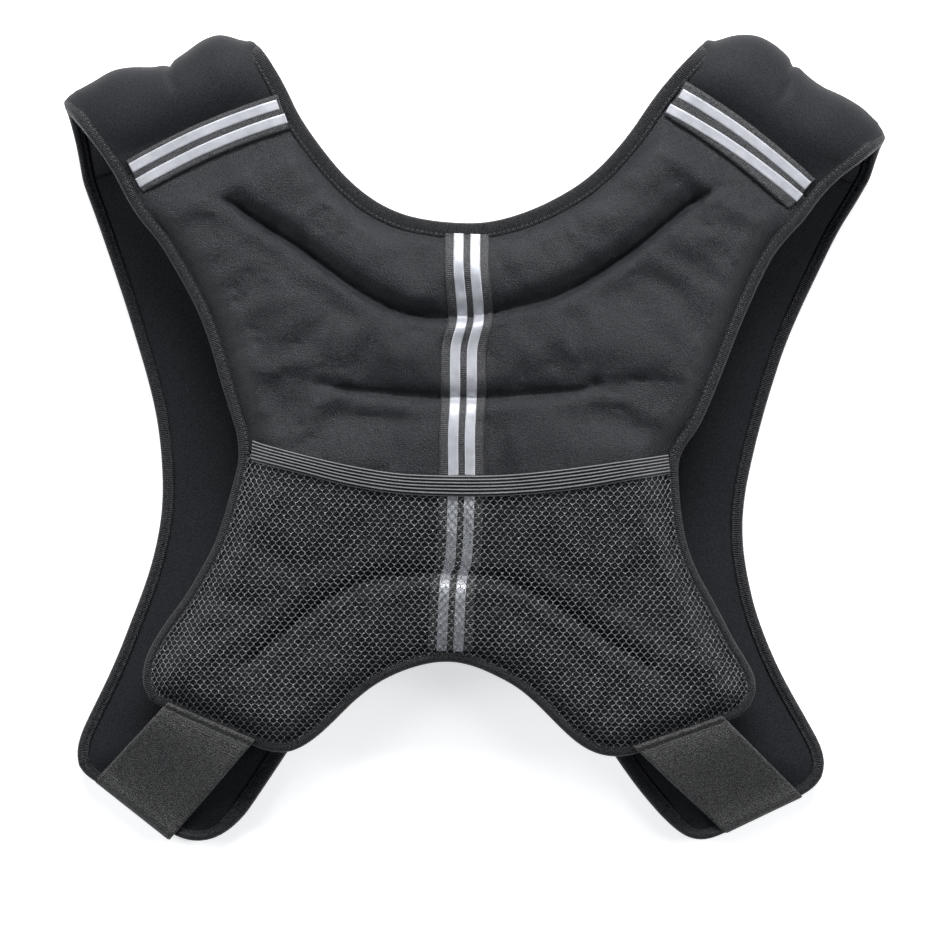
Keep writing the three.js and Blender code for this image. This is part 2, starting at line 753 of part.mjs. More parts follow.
const padEdges = { neck: [], arm: [] };
const padOutside = [];
const padInside = [];
for (let k = 0; k <= padRows; k += 1) {
  const neckPoint = padPaths[0][k].p;
  const armPoint = padPaths[padColumns.length - 1][k].p;
  const inward = armPoint.clone().sub(neckPoint).setZ(0).normalize();
  const outRow = [];
  const inRow = [];
  padColumns.forEach((across, i) => {
    const { p, normal } = padPaths[i][k];
    const place = p.clone();
    if (i === 0) {
      place.addScaledVector(inward, rimLine);
    } else if (i === padColumns.length - 1) {
      place.addScaledVector(inward, -rimLine);
    }
    const fill = padFill(across, padPaths[i], k);
    outRow.push(place.clone().addScaledVector(normal, rimHalf + (shoulderPadOut - rimHalf) * fill));
    inRow.push(place.clone().addScaledVector(normal, -rimHalf - (shoulderPadIn - rimHalf) * fill));
    if (i === 0) {
      padEdges.neck.push({ edge: place, inward, normal });
    } else if (i === padColumns.length - 1) {
      padEdges.arm.push({ edge: place, inward: inward.clone().negate(), normal });
    }
  });
  padOutside.push(outRow);
  padInside.push(inRow);
}
const padList = slab(padOutside, padInside);
addMesh('shoulder_pad_right', smooth, padList);
addMesh('shoulder_pad_left', smooth, mirrored(padList));

// Edge bindings

// Lifts stations to the height of their layer, with the direction inward along its slope
function atHeight(stations, heightAt, normal) {
  return stations.map((s) => {
    const edge = s.edge.clone().setZ(heightAt(s.edge.x, s.edge.y));
    const inner = s.edge.clone().addScaledVector(s.inward, rimWidth);
    inner.setZ(heightAt(inner.x, inner.y));
    return { edge, inward: inner.sub(edge).divideScalar(rimWidth), normal };
  });
}

const down = up.clone().negate();
const level = () => frontHeight;
const frontInnerRim = atHeight(frontLayout.innerStations, level, down);
const frontOuterRim = atHeight(frontLayout.outerStations, level, down);
const frontHemRim = atHeight(frontLayout.hemStations, level, down);
const backInnerRim = atHeight(backLayout.innerStations, backMiddle, up);
const backOuterRim = atHeight(backLayout.outerStations, backMiddle, up);
const backHemRim = atHeight(backLayout.hemStations, backMiddle, up);

function mirrorStation(s) {
  return {
    edge: mirrorPoint(s.edge),
    inward: mirrorPoint(s.inward),
    normal: mirrorPoint(s.normal),
  };
}

// Leaves out the panel's own station at a seam, where the shoulder pad's is used
const neckHalf = [
  ...frontInnerRim.slice(1).reverse(),
  ...padEdges.neck.slice().reverse(),
  ...backInnerRim.slice(1, neckIndex),
];
const neckPath = [...neckHalf, backInnerRim[neckIndex], ...neckHalf.slice().reverse().map(mirrorStation)];
addMesh('neck_binding', bindingCloth, foldedTape(neckPath, neckBindingWidth));

const armPath = [
  ...frontOuterRim.slice(1).reverse(),
  ...padEdges.arm.slice().reverse(),
  ...backOuterRim.slice(1),
];
const armList = foldedTape(armPath, armBindingWidth);
addMesh('arm_binding_right', bindingCloth, armList);
addMesh('arm_binding_left', bindingCloth, mirrored(armList));

// Ends of the hem bindings stop a clearance short of the bindings that they meet
function shortened(stations, gap) {
  const out = stations.slice();
  const run = out[1].edge.clone().sub(out[0].edge);
  out[0] = { ...out[0], edge: out[0].edge.clone().addScaledVector(run.normalize(), gap) };
  return out;
}

const cornerGap = 2.4;       // clears the corner's other binding, which is as thick as this one
const hemHalf = [
  ...backInnerRim.slice(archIndex + 1, -1),
  ...shortened(backHemRim.slice().reverse(), cornerGap).reverse(),
];
const hemPath = [...hemHalf.slice().reverse(), backInnerRim[archIndex], ...hemHalf.map(mirrorStation)];
addMesh('hem_binding', bindingCloth, foldedTape(hemPath, armBindingWidth));

const frontHemPath = shortened(shortened(frontHemRim, cornerGap).reverse(), cornerGap);
const frontHemList = foldedTape(frontHemPath, frontBindingWidth);
addMesh('wing_hem_binding_right', bindingCloth, frontHemList);
addMesh('wing_hem_binding_left', bindingCloth, mirrored(frontHemList));

// What lies on the back: the height of the padding below each point of it

function roofOf(lists) {
  const faces = [];
  for (const list of lists) {
    for (let i = 0; i < list.length; i += 3) {
      const [a, b, c] = [list[i], list[i + 1], list[i + 2]];
      const area = (b.x - a.x) * (c.y - a.y) - (c.x - a.x) * (b.y - a.y);
      if (Math.abs(area) > 1e-6) {
        faces.push({ a, b, c, area });
      }
    }
  }
  return (x, y) => {
    let best = -Infinity;
    for (const { a, b, c, area } of faces) {
      if (x < Math.min(a.x, b.x, c.x) || x > Math.max(a.x, b.x, c.x)) {
        continue;
      }
      const v = ((x - a.x) * (c.y - a.y) - (c.x - a.x) * (y - a.y)) / area;
      const w = ((b.x - a.x) * (y - a.y) - (x - a.x) * (b.y - a.y)) / area;
      if (v >= -1e-9 && w >= -1e-9 && v + w <= 1 + 1e-9) {
        best = Math.max(best, a.z + v * (b.z - a.z) + w * (c.z - a.z));
      }
    }
    return best;
  };
}

const padding = roofOf([backHalf, padList]);

// Highest padding within a reach of a place, so that a flat piece there clears it
function drape(x, y, reachX, reachY) {
  let best = -Infinity;
  for (const dx of [-1, -0.5, 0, 0.5, 1]) {
    for (const dy of [-1, -0.5, 0, 0.5, 1]) {
      best = Math.max(best, padding(Math.abs(x + dx * reachX), y + dy * reachY));
    }
  }
  return best;
}

// Centre tape with two reflective stripes, level across its width

const tapeStart = neckBottom - neckBindingWidth - clearance;
const tapeEnd = archTop + armBindingWidth + clearance;
const tapeStations = 24;
const tapeStep = (tapeStart - tapeEnd) / tapeStations;
const tapeLine = [];
for (let k = 0; k <= tapeStations; k += 1) {
  const y = tapeStart - k * tapeStep;
  const z = drape(0, y, centreTapeWidth / 2, tapeStep) + clearance;
  tapeLine.push({ y, z });
}

function centreRibbon(middle, width, lift) {
  return tapeLine.map(({ y, z }) => [
    new THREE.Vector3(middle - width / 2, y, z + lift),
    new THREE.Vector3(middle + width / 2, y, z + lift),
  ]);
}

const stripeLift = tapeThickness + clearance;
const stackHeight = stripeLift + stripeThickness + clearance;
addMesh('centre_tape', webbing, ribbon(centreRibbon(0, centreTapeWidth, 0), tapeThickness));
for (const [side, name] of [[-1, 'left'], [1, 'right']]) {
  addMesh(`centre_stripe_${name}`, silver,
    ribbon(centreRibbon(side * stripeSpread, stripeWidth, stripeLift), stripeThickness));
}

// Shoulder tapes over the shoulder seams, each with two stripes

const seamRun = backLayout.seamRun;
const neckTurn = 0.2;        // how much the neck edge leans outward past the seam, and the tape with it
const tapeSetback = 0.8;     // from the neck binding to the end of the tape
const seamStart = backInner[0].clone().addScaledVector(seamRun, neckBindingWidth + tapeSetback);
const seamStop = backOuter[0].clone().addScaledVector(seamRun, -armBindingWidth - clearance);
const shoulderStations = 9;
const seamLine = [];
for (let k = 0; k <= shoulderStations; k += 1) {
  const p = mix(seamStart, seamStop, k / shoulderStations);
  const step = seamStart.distanceTo(seamStop) / shoulderStations;
  let z = -Infinity;
  for (const shift of [-1, -0.5, 0, 0.5, 1]) {
    for (const over of [-1, -0.6, -0.2, 0.2, 0.6, 1]) {
      const q = p.clone().addScaledVector(seamRun, shift * step);
      q.addScaledVector(seamNormal, over * shoulderTapeWidth / 2);
      z = Math.max(z, padding(q.x, q.y));
    }
  }
  seamLine.push({ p, z: Math.max(z, backMiddle(p.x, p.y) + bindingTop) + clearance });
}

function seamRibbon(middle, width, lift) {
  return seamLine.map(({ p, z }, k) => [middle - width / 2, middle + width / 2].map((off) => {
    const lean = neckTurn * Math.max(0, 1 - 2 * k / shoulderStations);
    const place = p.clone().addScaledVector(seamNormal, off);
    place.addScaledVector(seamRun, lean * Math.max(0, off));
    return place.setZ(z + lift);
  }));
}

const shoulderPieces = [
  { name: 'shoulder_tape', finish: webbing, middle: 0, width: shoulderTapeWidth, lift: 0,
    thickness: tapeThickness },
  { name: 'shoulder_stripe_upper', finish: silver, middle: shoulderStripeSpread, width: stripeWidth,
    lift: stripeLift, thickness: stripeThickness },
  { name: 'shoulder_stripe_lower', finish: silver, middle: -shoulderStripeSpread, width: stripeWidth,
    lift: stripeLift, thickness: stripeThickness },
];
for (const piece of shoulderPieces) {
  const list = ribbon(seamRibbon(piece.middle, piece.width, piece.lift), piece.thickness);
  addMesh(`${piece.name}_right`, piece.finish, list);
  addMesh(`${piece.name}_left`, piece.finish, mirrored(list));
}

// Pocket: an elastic band across the waist and a net below it, down to the hem and the arch

const pocketInset = armBindingWidth + clearance;
const bandEnd = backOut[waistRow].x - pocketInset;
const bandLow = backOut[waistRow].y - bandSag;

function bandAt(x) {
  const share = x / bandEnd;
  return bandLow + bandSag * share * share;
}

const tapeMargin = 2.2;      // how far past the tape a piece over it is still lifted, in reaches

// Height of what lies over the padding: clear of the centre tape, down on the rim at its sides
function overlay(x, y, reach) {
  const rim = Math.min(...backRimLines.map((line) => distanceTo(line, Math.abs(x), y)));
  const overTape = ease((centreTapeWidth / 2 + tapeMargin * reach - Math.abs(x)) / reach);
  const lift = Math.max(ease((rim - pocketInset) / edgeReach), overTape) * stackHeight;
  let height = drape(x, y, reach, reach) + clearance + lift;
  if (Math.abs(x) < centreTapeWidth / 2 + reach) {
    for (const station of tapeLine) {
      if (Math.abs(station.y - y) < reach + tapeStep) {
        height = Math.max(height, station.z + stackHeight);
      }
    }
  }
  return height;
}

const bandSteps = 18;
const bandStations = [];
for (let k = 0; k <= bandSteps; k += 1) {
  const x = THREE.MathUtils.lerp(-bandEnd, bandEnd, k / bandSteps);
  const y = bandAt(x);
  const reach = bandEnd / bandSteps * 2;
  const z = Math.max(overlay(x, y - bandWidth / 4, reach), overlay(x, y + bandWidth / 4, reach));
  bandStations.push([
    new THREE.Vector3(x, y + bandWidth / 2, z),
    new THREE.Vector3(x, y - bandWidth / 2, z),
  ]);
}
addMesh('pocket_band', elastic, ribbon(bandStations, bandThickness));

// Edges of the right half of the net, each read from 0 to 1
const bandSpan = bandWidth / 2 + clearance;
const runStep = 0.05;        // step along an outline that gives its direction
const netSideEnd = 0.9;      // the net's lower corner on the arm edge, in rows before the hem
const netArchEnd = 0.35;     // end of its edge along the arch, likewise
const netHemStart = 0.45;    // its edge along the hem, in points of backHem
const netHemEnd = 4.25;

function insetPoint(curve, t, step) {
  const before = curve(Math.max(0, t - step));
  const after = curve(t + step);
  const run = after.sub(before).normalize();
  return curve(t).add(new THREE.Vector3(run.y, -run.x, 0).multiplyScalar(pocketInset));
}

// Where the arm edge passes the band's lower edge, in rows of the table
function bandCorner() {
  let t = waistRow;
  let p = insetPoint(backOuterAt, t, runStep);
  while (p.y > bandAt(p.x) - bandSpan) {
    t += runStep;
    p = insetPoint(backOuterAt, t, runStep);
  }
  return t;
}

const sideStart = bandCorner();

function netSide(v) {
  const t = THREE.MathUtils.lerp(sideStart, backEnd - netSideEnd, v);
  return insetPoint(backOuterAt, t, runStep);
}

function netTop(u) {
  const corner = netSide(0);
  const x = u * corner.x;
  const drift = corner.y - (bandAt(corner.x) - bandSpan);
  return new THREE.Vector3(x, bandAt(x) - bandSpan + drift * u * u * u * u, 0);
}

const netHemShare = 0.42;    // share of the net's lower edge that lies along the lobe's hem

// The point of the net's edge beside a place of the arch or the hem
function insideOf(curve, t) {
  const run = curve(t + runStep).sub(curve(t - runStep)).normalize();
  return curve(t).add(new THREE.Vector3(-run.y, run.x, 0).multiplyScalar(pocketInset));
}

function netBottom(u) {
  const split = 1 - netHemShare;
  if (u <= split) {
    const t = THREE.MathUtils.lerp(archRow, backEnd - netArchEnd, u / split);
    return insideOf((s) => archCurve(s - archRow + 1), t);
  }
  const t = THREE.MathUtils.lerp(netHemStart, netHemEnd, (u - split) / netHemShare);
  return insideOf(hemCurve, t);
}

function netPlan(u, v) {
  const a = Math.abs(u);
  const side = mix(netTop(0), netBottom(0), v).lerp(netSide(v), a);
  const ends = mix(netTop(a), netBottom(a), v);
  const corners = mix(mix(netTop(0), netTop(1), a), mix(netBottom(0), netBottom(1), a), v);
  const p = side.add(ends).sub(corners);
  return u < 0 ? mirrorPoint(p) : p;
}

// Crossing points of the net: a row of zigzag points between each two rows of holes
const netReach = bandEnd / netColumns;
const zigzag = 0.16 / netRows; // how far its crossing points stand off their row, as a share of the net
const netDrape = 0.8;        // reach of the padding that a crossing point clears, in columns
const netPoints = [];
for (let r = 0; r <= netRows; r += 1) {
  const row = [];
  for (let k = 0; k <= 2 * netColumns; k += 1) {
    const edgeRow = r === 0 || r === netRows;
    const shift = edgeRow ? 0 : zigzag * ((k + r) % 2 === 0 ? 1 : -1);
    const p = netPlan(k / netColumns - 1, r / netRows + shift);
    row.push(p.setZ(overlay(p.x, p.y, netReach * netDrape)));
  }
  netPoints.push(row);
}

function netList() {
  const list = [];
  const lift = (p) => p.clone().addScaledVector(up, netThickness);
  const both = (a, b, c, d) => {
    quad(list, lift(a), lift(b), lift(c), lift(d));
    quad(list, d, c, b, a);
  };
  for (let r = 0; r < netRows; r += 1) {
    const odd = r % 2;
    for (let k = -odd; k < 2 * netColumns; k += 2) {
      const from = Math.max(0, k);
      const to = Math.min(2 * netColumns, k + 2);
      if (to - from < 2) {
        both(netPoints[r][from], netPoints[r + 1][from], netPoints[r + 1][to], netPoints[r][to]);
        continue;
      }
      const outline = [
        netPoints[r][from], netPoints[r + 1][from], netPoints[r + 1][from + 1],
        netPoints[r + 1][to], netPoints[r][to], netPoints[r][from + 1],
      ];
      const centre = new THREE.Vector3();
      outline.forEach((p) => centre.addScaledVector(p, 1 / outline.length));
      const hole = outline.map((p) => mix(centre, p, netOpen));
      outline.forEach((p, n) => {
        const m = (n + 1) % outline.length;
        both(p, outline[m], hole[m], hole[n]);
        quad(list, lift(hole[n]), lift(hole[m]), hole[m], hole[n]);
      });
    }
  }
  const rim = (a, b) => quad(list, lift(a), a, b, lift(b));
  for (let k = 0; k < 2 * netColumns; k += 1) {
    rim(netPoints[0][k + 1], netPoints[0][k]);
    rim(netPoints[netRows][k], netPoints[netRows][k + 1]);
  }
  for (let r = 0; r < netRows; r += 1) {
    rim(netPoints[r][0], netPoints[r + 1][0]);
    rim(netPoints[r + 1][2 * netColumns], netPoints[r][2 * netColumns]);
  }
  return list;
}
addMesh('mesh_pocket', net, netList());

// Side straps: sewn on the lobe's hem, down to the front panel and round its lower edge

const strapTop = hemCurve(2.85);         // place on the hem where its middle is sewn on
const strapFoot = frontHemCurve(4.05);   // place on the front panel's edge that it turns under
const strapRun = strapFoot.clone().sub(strapTop).normalize();
const strapAcross = new THREE.Vector3(-strapRun.y, strapRun.x, 0);
const hemRun = hemCurve(3.6).sub(hemCurve(1.4)).normalize();
const footRun = frontHemCurve(4.9).sub(frontHemCurve(3.2)).normalize();
const slantLimit = 0.2;      // keeps a slanted end from running away
const sewnShare = 0.3;       // share of its length in which it may still lie on the lobe
const sewnMargin = 2;
const fallFrom = 0.1;        // share of its length where it starts to fall to the front panel
const fallRate = 1.15;
const wingReach = 8;         // length over which it clears the front panel's padding
const strapSteps = 8;
const frontRoof = roofOf([frontList]);

// Point of the strap at a share of its visible length, and at a share of its width from its middle
function strapPlan(share, over) {
  const slantTop = hemRun.clone().multiplyScalar(1 / Math.max(slantLimit, hemRun.dot(strapAcross)));
  const slantFoot = footRun.clone().multiplyScalar(1 / Math.max(slantLimit, footRun.dot(strapAcross)));
  const top = strapTop.clone().addScaledVector(strapRun, -sideStrapOverlap);
  const foot = strapFoot.clone().addScaledVector(strapRun, clearance + sideStrapThickness);
  const slant = mix(slantTop, slantFoot, ease(share));
  return mix(top, foot, share).addScaledVector(slant, over * sideStrapWidth);
}

const strapColumns = [-0.5, -0.17, 0.17, 0.5];
const strapRows = [];
for (let k = 0; k <= strapSteps; k += 1) {
  const share = k / strapSteps;
  strapRows.push(strapColumns.map((over) => {
    const p = strapPlan(share, over);
    const startZ = backMiddle(p.x, p.y) + bindingTop + clearance;
    const endZ = frontHeight + bindingTop + clearance;
    const offLobe = distanceTo(backHemLine, p.x, p.y);
    const falling = THREE.MathUtils.lerp(startZ, endZ, swell(Math.max(0, share - fallFrom) * fallRate));
    const sewn = share < sewnShare && offLobe < sideStrapOverlap + sewnMargin;
    const ledge = sewn ? startZ : falling;
    let wing = frontRoof(p.x, p.y);
    for (const near of [-wingReach, wingReach]) {
      wing = Math.max(wing, frontRoof(p.x + near * strapRun.x, p.y + near * strapRun.y));
    }
    return p.setZ(Math.max(ledge, endZ, wing + clearance));
  }));
}

// Its lower end turns under the front panel's edge: outer and inner face, then back inward
const turned = strapColumns.map((over, i) => {
  const edge = strapRows[strapSteps][i];
  const under = strapPlan(1, over).addScaledVector(strapRun, -sideStrapTuck);
  return {
    out: edge,
    low: edge.clone().setZ(frontHeight - bindingTop - clearance),
    under: under.setZ(frontHeight - bindingTop - clearance),
  };
});
const strapOuter = [];
const strapInner = [];
strapRows.forEach((row, k) => {
  strapInner.push(row);
  const spread = k === strapSteps ? sideStrapThickness : 0;
  strapOuter.push(row.map((p) => p.clone().addScaledVector(up, sideStrapThickness)
    .addScaledVector(strapRun, spread)));
});
strapInner.push(turned.map((t) => t.low));
strapOuter.push(turned.map((t) => t.low.clone().addScaledVector(strapRun, sideStrapThickness)
  .addScaledVector(up, -sideStrapThickness)));
strapInner.push(turned.map((t) => t.under));
strapOuter.push(turned.map((t) => t.under.clone().addScaledVector(up, -sideStrapThickness)));
const strapList = slab(strapOuter, strapInner);
addMesh('side_strap_right', elastic, strapList);
addMesh('side_strap_left', elastic, mirrored(strapList));

// Closure across the front: two short straps, each through one plain clasp

function frontInnerX(y) {
  let best = frontInner[0];
  for (const p of frontInner) {
    if (Math.abs(p.y - y) < Math.abs(best.y - y)) {
      best = p;
    }
  }
  return best.x;
}

function boxList(halfX, middleY, halfY, low, high) {
  const top = [[-halfX, halfX], [-halfX, halfX]].map((xs, j) => xs
    .map((x) => new THREE.Vector3(x, middleY + (j === 0 ? halfY : -halfY), high)));
  const bottom = top.map((row) => row.map((p) => p.clone().setZ(low)));
  return slab(top, bottom);
}

// Each strap lies just under the front panels' bindings, and its clasp on top of it
const chestTop = frontHeight - bindingTop - clearance;
const chestLow = chestTop - chestStrapThickness;
for (const [name, share] of [['upper', upperChestStrap], ['lower', lowerChestStrap]]) {
  const y = along(share, frontDrop);
  const reach = frontInnerX(y) + chestStrapTuck;
  addMesh(`chest_strap_${name}`, webbing, boxList(reach, y, chestStrapWidth / 2, chestLow, chestTop));
  const low = chestTop + clearance;
  addMesh(`chest_clasp_${name}`, plastic, boxList(claspLength / 2, y, claspWidth / 2, low,
    low + claspThickness));
}

// The origin is the middle of what the vest covers, on the surface that it lies on
const extent = new THREE.Box3().setFromObject(vest);
const middle = extent.getCenter(new THREE.Vector3());
vest.position.set(-middle.x, -middle.y, -extent.min.z);

export default vest;
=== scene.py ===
# %% [markdown]
# # A padded weighted vest, in Blender
# The vest lies closed on its front on a pale surface, with the quilted back up. We build it the way it
# is sewn: padded panels first, then the tapes that bind their edges, then what is sewn on top.
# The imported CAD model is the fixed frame, and every piece here takes the place of one of its nodes.

# %% Load the frame
import math

import bpy
import numpy as np
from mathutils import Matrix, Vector, noise


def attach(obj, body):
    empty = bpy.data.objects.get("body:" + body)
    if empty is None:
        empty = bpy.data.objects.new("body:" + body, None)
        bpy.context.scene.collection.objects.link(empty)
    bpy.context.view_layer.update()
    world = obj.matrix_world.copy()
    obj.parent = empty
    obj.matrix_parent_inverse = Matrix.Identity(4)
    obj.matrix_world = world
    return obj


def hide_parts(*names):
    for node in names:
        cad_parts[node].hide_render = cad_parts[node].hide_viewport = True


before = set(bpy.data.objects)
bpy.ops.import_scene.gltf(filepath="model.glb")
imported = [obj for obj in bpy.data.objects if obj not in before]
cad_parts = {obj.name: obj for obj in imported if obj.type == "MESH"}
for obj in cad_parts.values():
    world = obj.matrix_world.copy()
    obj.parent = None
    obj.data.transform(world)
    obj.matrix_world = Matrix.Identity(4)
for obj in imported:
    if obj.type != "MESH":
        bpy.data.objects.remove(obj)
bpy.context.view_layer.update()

# %% [markdown]
# ## Units
# A vest is drawn in millimetres and Blender works in metres, so all patterns below are in millimetres
# and are turned into metres at the very end. The frame's origin lies a little below the pattern's own.

# %% Units and new meshes
MM = 0.001
pattern_shift = np.array([0.0, -0.49, 0.0])


def to_metres(points):
    """From the pattern's millimetres to the frame's metres."""
    return (np.asarray(points, float) + pattern_shift) * MM


def new_mixed_piece(name, points, faces, finish, pattern=None):
    """A smooth mesh from points in millimetres. pattern: along and across the cloth, for its weave."""
    mesh = bpy.data.meshes.new(name)
    mesh.from_pydata(to_metres(points).tolist(), [], faces)
    mesh.polygons.foreach_set("use_smooth", np.ones(len(mesh.polygons), bool))
    if pattern is not None:
        layer = mesh.attributes.new("cloth_mm", "FLOAT_VECTOR", "POINT")
        flat = np.column_stack([np.asarray(pattern, float), np.zeros(len(points))])
        layer.data.foreach_set("vector", flat.astype(np.float32).ravel())
    mesh.update()
    piece = bpy.data.objects.new(name, mesh)
    bpy.context.scene.collection.objects.link(piece)
    piece.data.materials.append(finish)
    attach(piece, "root")
    print(f"{name}: {len(points)} points, {len(faces)} faces")
    return piece


def new_piece(name, points, faces, finish, pattern=None):
    """The same for an array of faces that all have four corners."""
    return new_mixed_piece(name, points, np.asarray(faces, int).tolist(), finish, pattern)


def grid_faces(rows, columns, start=0, flip=False, ring=False):
    """Four-sided faces over rows x columns points. ring joins the last column to the first."""
    across = columns if ring else columns - 1
    j, i = np.meshgrid(np.arange(rows - 1), np.arange(across), indexing="ij")
    nxt = (i + 1) % columns
    near, far = j * columns, (j + 1) * columns
    quads = np.stack([near + i, far + i, far + nxt, near + nxt], -1).reshape(-1, 4) + start
    return quads[:, ::-1] if flip else quads


def closed_slab(top, bottom):
    """Closes a grid of top points over a grid of bottom points into one solid mesh."""
    rows, columns = top.shape[:2]
    count = rows * columns
    faces = [grid_faces(rows, columns), grid_faces(rows, columns, count, flip=True)]
    ids = np.arange(count).reshape(rows, columns)
    rim = np.concatenate([ids[0, :-1], ids[:-1, -1], ids[-1, :0:-1], ids[:0:-1, 0]])
    after = np.roll(rim, -1)
    faces.append(np.stack([rim, after, after + count, rim + count], -1))
    points = np.concatenate([top.reshape(-1, 3), bottom.reshape(-1, 3)])
    return points, np.concatenate(faces)


def padded_slab(top, bottom, skip=3):
    """A fine grid of top points closed by a coarser grid below that keeps every skip-th point."""
    low = bottom[::skip, ::skip]
    rows, columns = top.shape[:2]
    low_rows, low_columns = low.shape[:2]
    count = rows * columns
    faces = grid_faces(rows, columns).tolist()
    faces += grid_faces(low_rows, low_columns, count, flip=True).tolist()
    j = np.concatenate([np.zeros(columns - 1), np.arange(rows - 1), np.full(columns - 1, rows - 1),
                        np.arange(rows - 1, 0, -1)]).astype(int)
    i = np.concatenate([np.arange(columns - 1), np.full(rows - 1, columns - 1),
                        np.arange(columns - 1, 0, -1), np.zeros(rows - 1)]).astype(int)
    fine = j * columns + i
    coarse = count + np.round(j / skip).astype(int) * low_columns + np.round(i / skip).astype(int)
    for a, b, c, d in zip(fine, np.roll(fine, -1), np.roll(coarse, -1), coarse):
        faces.append([a, b, c, d] if c != d else [a, b, d])
    points = np.concatenate([top.reshape(-1, 3), low.reshape(-1, 3)])
    return points, [[int(v) for v in face] for face in faces]


print("pattern's shift in the frame, in millimetres:", pattern_shift)

# %% [markdown]
# ## Camera
# The photograph looks straight down on the vest from about 1.9 m. A long lens keeps the edges from
# splaying. The vest lies a little turned in the picture, so the camera is turned, not the vest.

# %% Camera
camera_height = 1.9
sensor = 36.0
millimetres_a_pixel = 0.530
picture_side = 950
camera_data = bpy.data.cameras.new("camera")
camera_data.sensor_width = sensor
camera_data.lens = sensor * camera_height / (millimetres_a_pixel * picture_side * MM)
camera = bpy.data.objects.new("camera", camera_data)
camera.location = (*to_metres([7.1, -16.0, 0])[:2], camera_height)
camera.rotation_euler = (0, 0, math.atan2(25, 637))
bpy.context.scene.collection.objects.link(camera)
bpy.context.scene.camera = camera
print("lens in millimetres:", round(camera_data.lens, 2))

# %% [markdown]
# ## Light and floor
# Black cloth shows its shape only through its highlights. A wide soft light beyond the shoulders
# rakes over the quilting, two weaker ones open the sides, and a pale world fills the shadows.

# %% Light
def soft_light(name, place, size, power):
    """A rectangular light that faces the vest. Place and size in metres, power in watts."""
    data = bpy.data.lights.new(name, "AREA")
    data.shape = "RECTANGLE"
    data.size, data.size_y = size
    data.energy = power
    lamp = bpy.data.objects.new(name, data)
    lamp.location = place
    lamp.rotation_euler = (-Vector(place)).to_track_quat("-Z", "Y").to_euler()
    bpy.context.scene.collection.objects.link(lamp)


soft_light("key beyond the shoulders", (0.05, 1.5, 1.02), (1.3, 0.45), 48)
soft_light("left side", (-1.3, 0.15, 0.85), (0.6, 0.9), 10)
soft_light("right side", (1.3, 0.15, 0.85), (0.6, 0.9), 10)
world = bpy.data.worlds.new("studio")
bpy.context.scene.world = world
world.use_nodes = True
background = world.node_tree.nodes["Background"]
background.inputs["Color"].default_value = (0.78, 0.88, 1.0, 1)
background.inputs["Strength"].default_value = 0.13
bpy.context.scene.view_settings.view_transform = "Standard"

# %% [markdown]
# ## Finishes
# Cloth is not one flat colour. Each finish below is a Principled shader whose colour is broken up by
# fine noise, with a bump for its weave, nap or ribs. Two colours also hold painted light: the net
# thread's light flecks are painted glints, and the ribbed band is painted light on its ribs and dark in
# its gaps.
# A sheen gives the soft bright rim of brushed knit.

# %% Finishes: helpers
def finish_nodes(name, roughness, specular=0.35, sheen=0.0, sheen_roughness=0.4):
    """A new finish with its constant settings on the shader: material, node tree and shader."""
    material = bpy.data.materials.new(name)
    material.use_nodes = True
    shader = material.node_tree.nodes["Principled BSDF"]
    shader.inputs["Roughness"].default_value = roughness
    shader.inputs["Specular IOR Level"].default_value = specular
    shader.inputs["Sheen Weight"].default_value = sheen
    shader.inputs["Sheen Roughness"].default_value = sheen_roughness
    return material, material.node_tree, shader


def add_node(tree, kind, **settings):
    """A new node with its settings or its unlinked inputs filled in by name."""
    node = tree.nodes.new(kind)
    for key, value in settings.items():
        if hasattr(node, key):
            setattr(node, key, value)
        else:
            node.inputs[key.replace("_", " ")].default_value = value
    return node


def fine_noise(tree, scale, detail=3.0):
    """Noise of a given scale, per metre."""
    coordinates = add_node(tree, "ShaderNodeTexCoord").outputs["Object"]
    grain = add_node(tree, "ShaderNodeTexNoise", Scale=scale, Detail=detail)
    tree.links.new(coordinates, grain.inputs["Vector"])
    return grain.outputs["Fac"]


def speckle(tree, shader, scale, dark, light, detail=4.0, low=0.3, high=0.7):
    """Breaks the colour up between dark and light with noise of a given scale."""
    ramp = add_node(tree, "ShaderNodeValToRGB")
    ramp.color_ramp.elements[0].position = low
    ramp.color_ramp.elements[1].position = high
    ramp.color_ramp.elements[0].color = (*dark, 1)
    ramp.color_ramp.elements[1].color = (*light, 1)
    tree.links.new(fine_noise(tree, scale, detail), ramp.inputs["Fac"])
    tree.links.new(ramp.outputs["Color"], shader.inputs["Base Color"])


def bump(tree, shader, height, strength, distance, below=None):
    """Adds a bump to the shader's normal, on top of another bump if below is given."""
    node = add_node(tree, "ShaderNodeBump", Strength=strength, Distance=distance)
    tree.links.new(height, node.inputs["Height"])
    if below is not None:
        tree.links.new(below, node.inputs["Normal"])
    tree.links.new(node.outputs["Normal"], shader.inputs["Normal"])
    return node.outputs["Normal"]


def cloth_lines(tree, axis, pitch, phase=0.0):
    """A wave with one ridge every pitch millimetres along an axis of the cloth's own pattern."""
    pattern = add_node(tree, "ShaderNodeAttribute", attribute_name="cloth_mm")
    split = add_node(tree, "ShaderNodeSeparateXYZ")
    tree.links.new(pattern.outputs["Vector"], split.inputs[0])
    turn = add_node(tree, "ShaderNodeMath", operation="MULTIPLY_ADD")
    tree.links.new(split.outputs[axis], turn.inputs[0])
    turn.inputs[1].default_value = 2 * math.pi / pitch
    turn.inputs[2].default_value = phase
    wave = add_node(tree, "ShaderNodeMath", operation="SINE")
    tree.links.new(turn.outputs[0], wave.inputs[0])
    return wave.outputs[0]

# %% [markdown]
# The large cloths differ in how much they shine and how coarse their nap is. The back is a brushed
# stretch knit with a soft shine. The shoulders and the lining are smoother and darker.

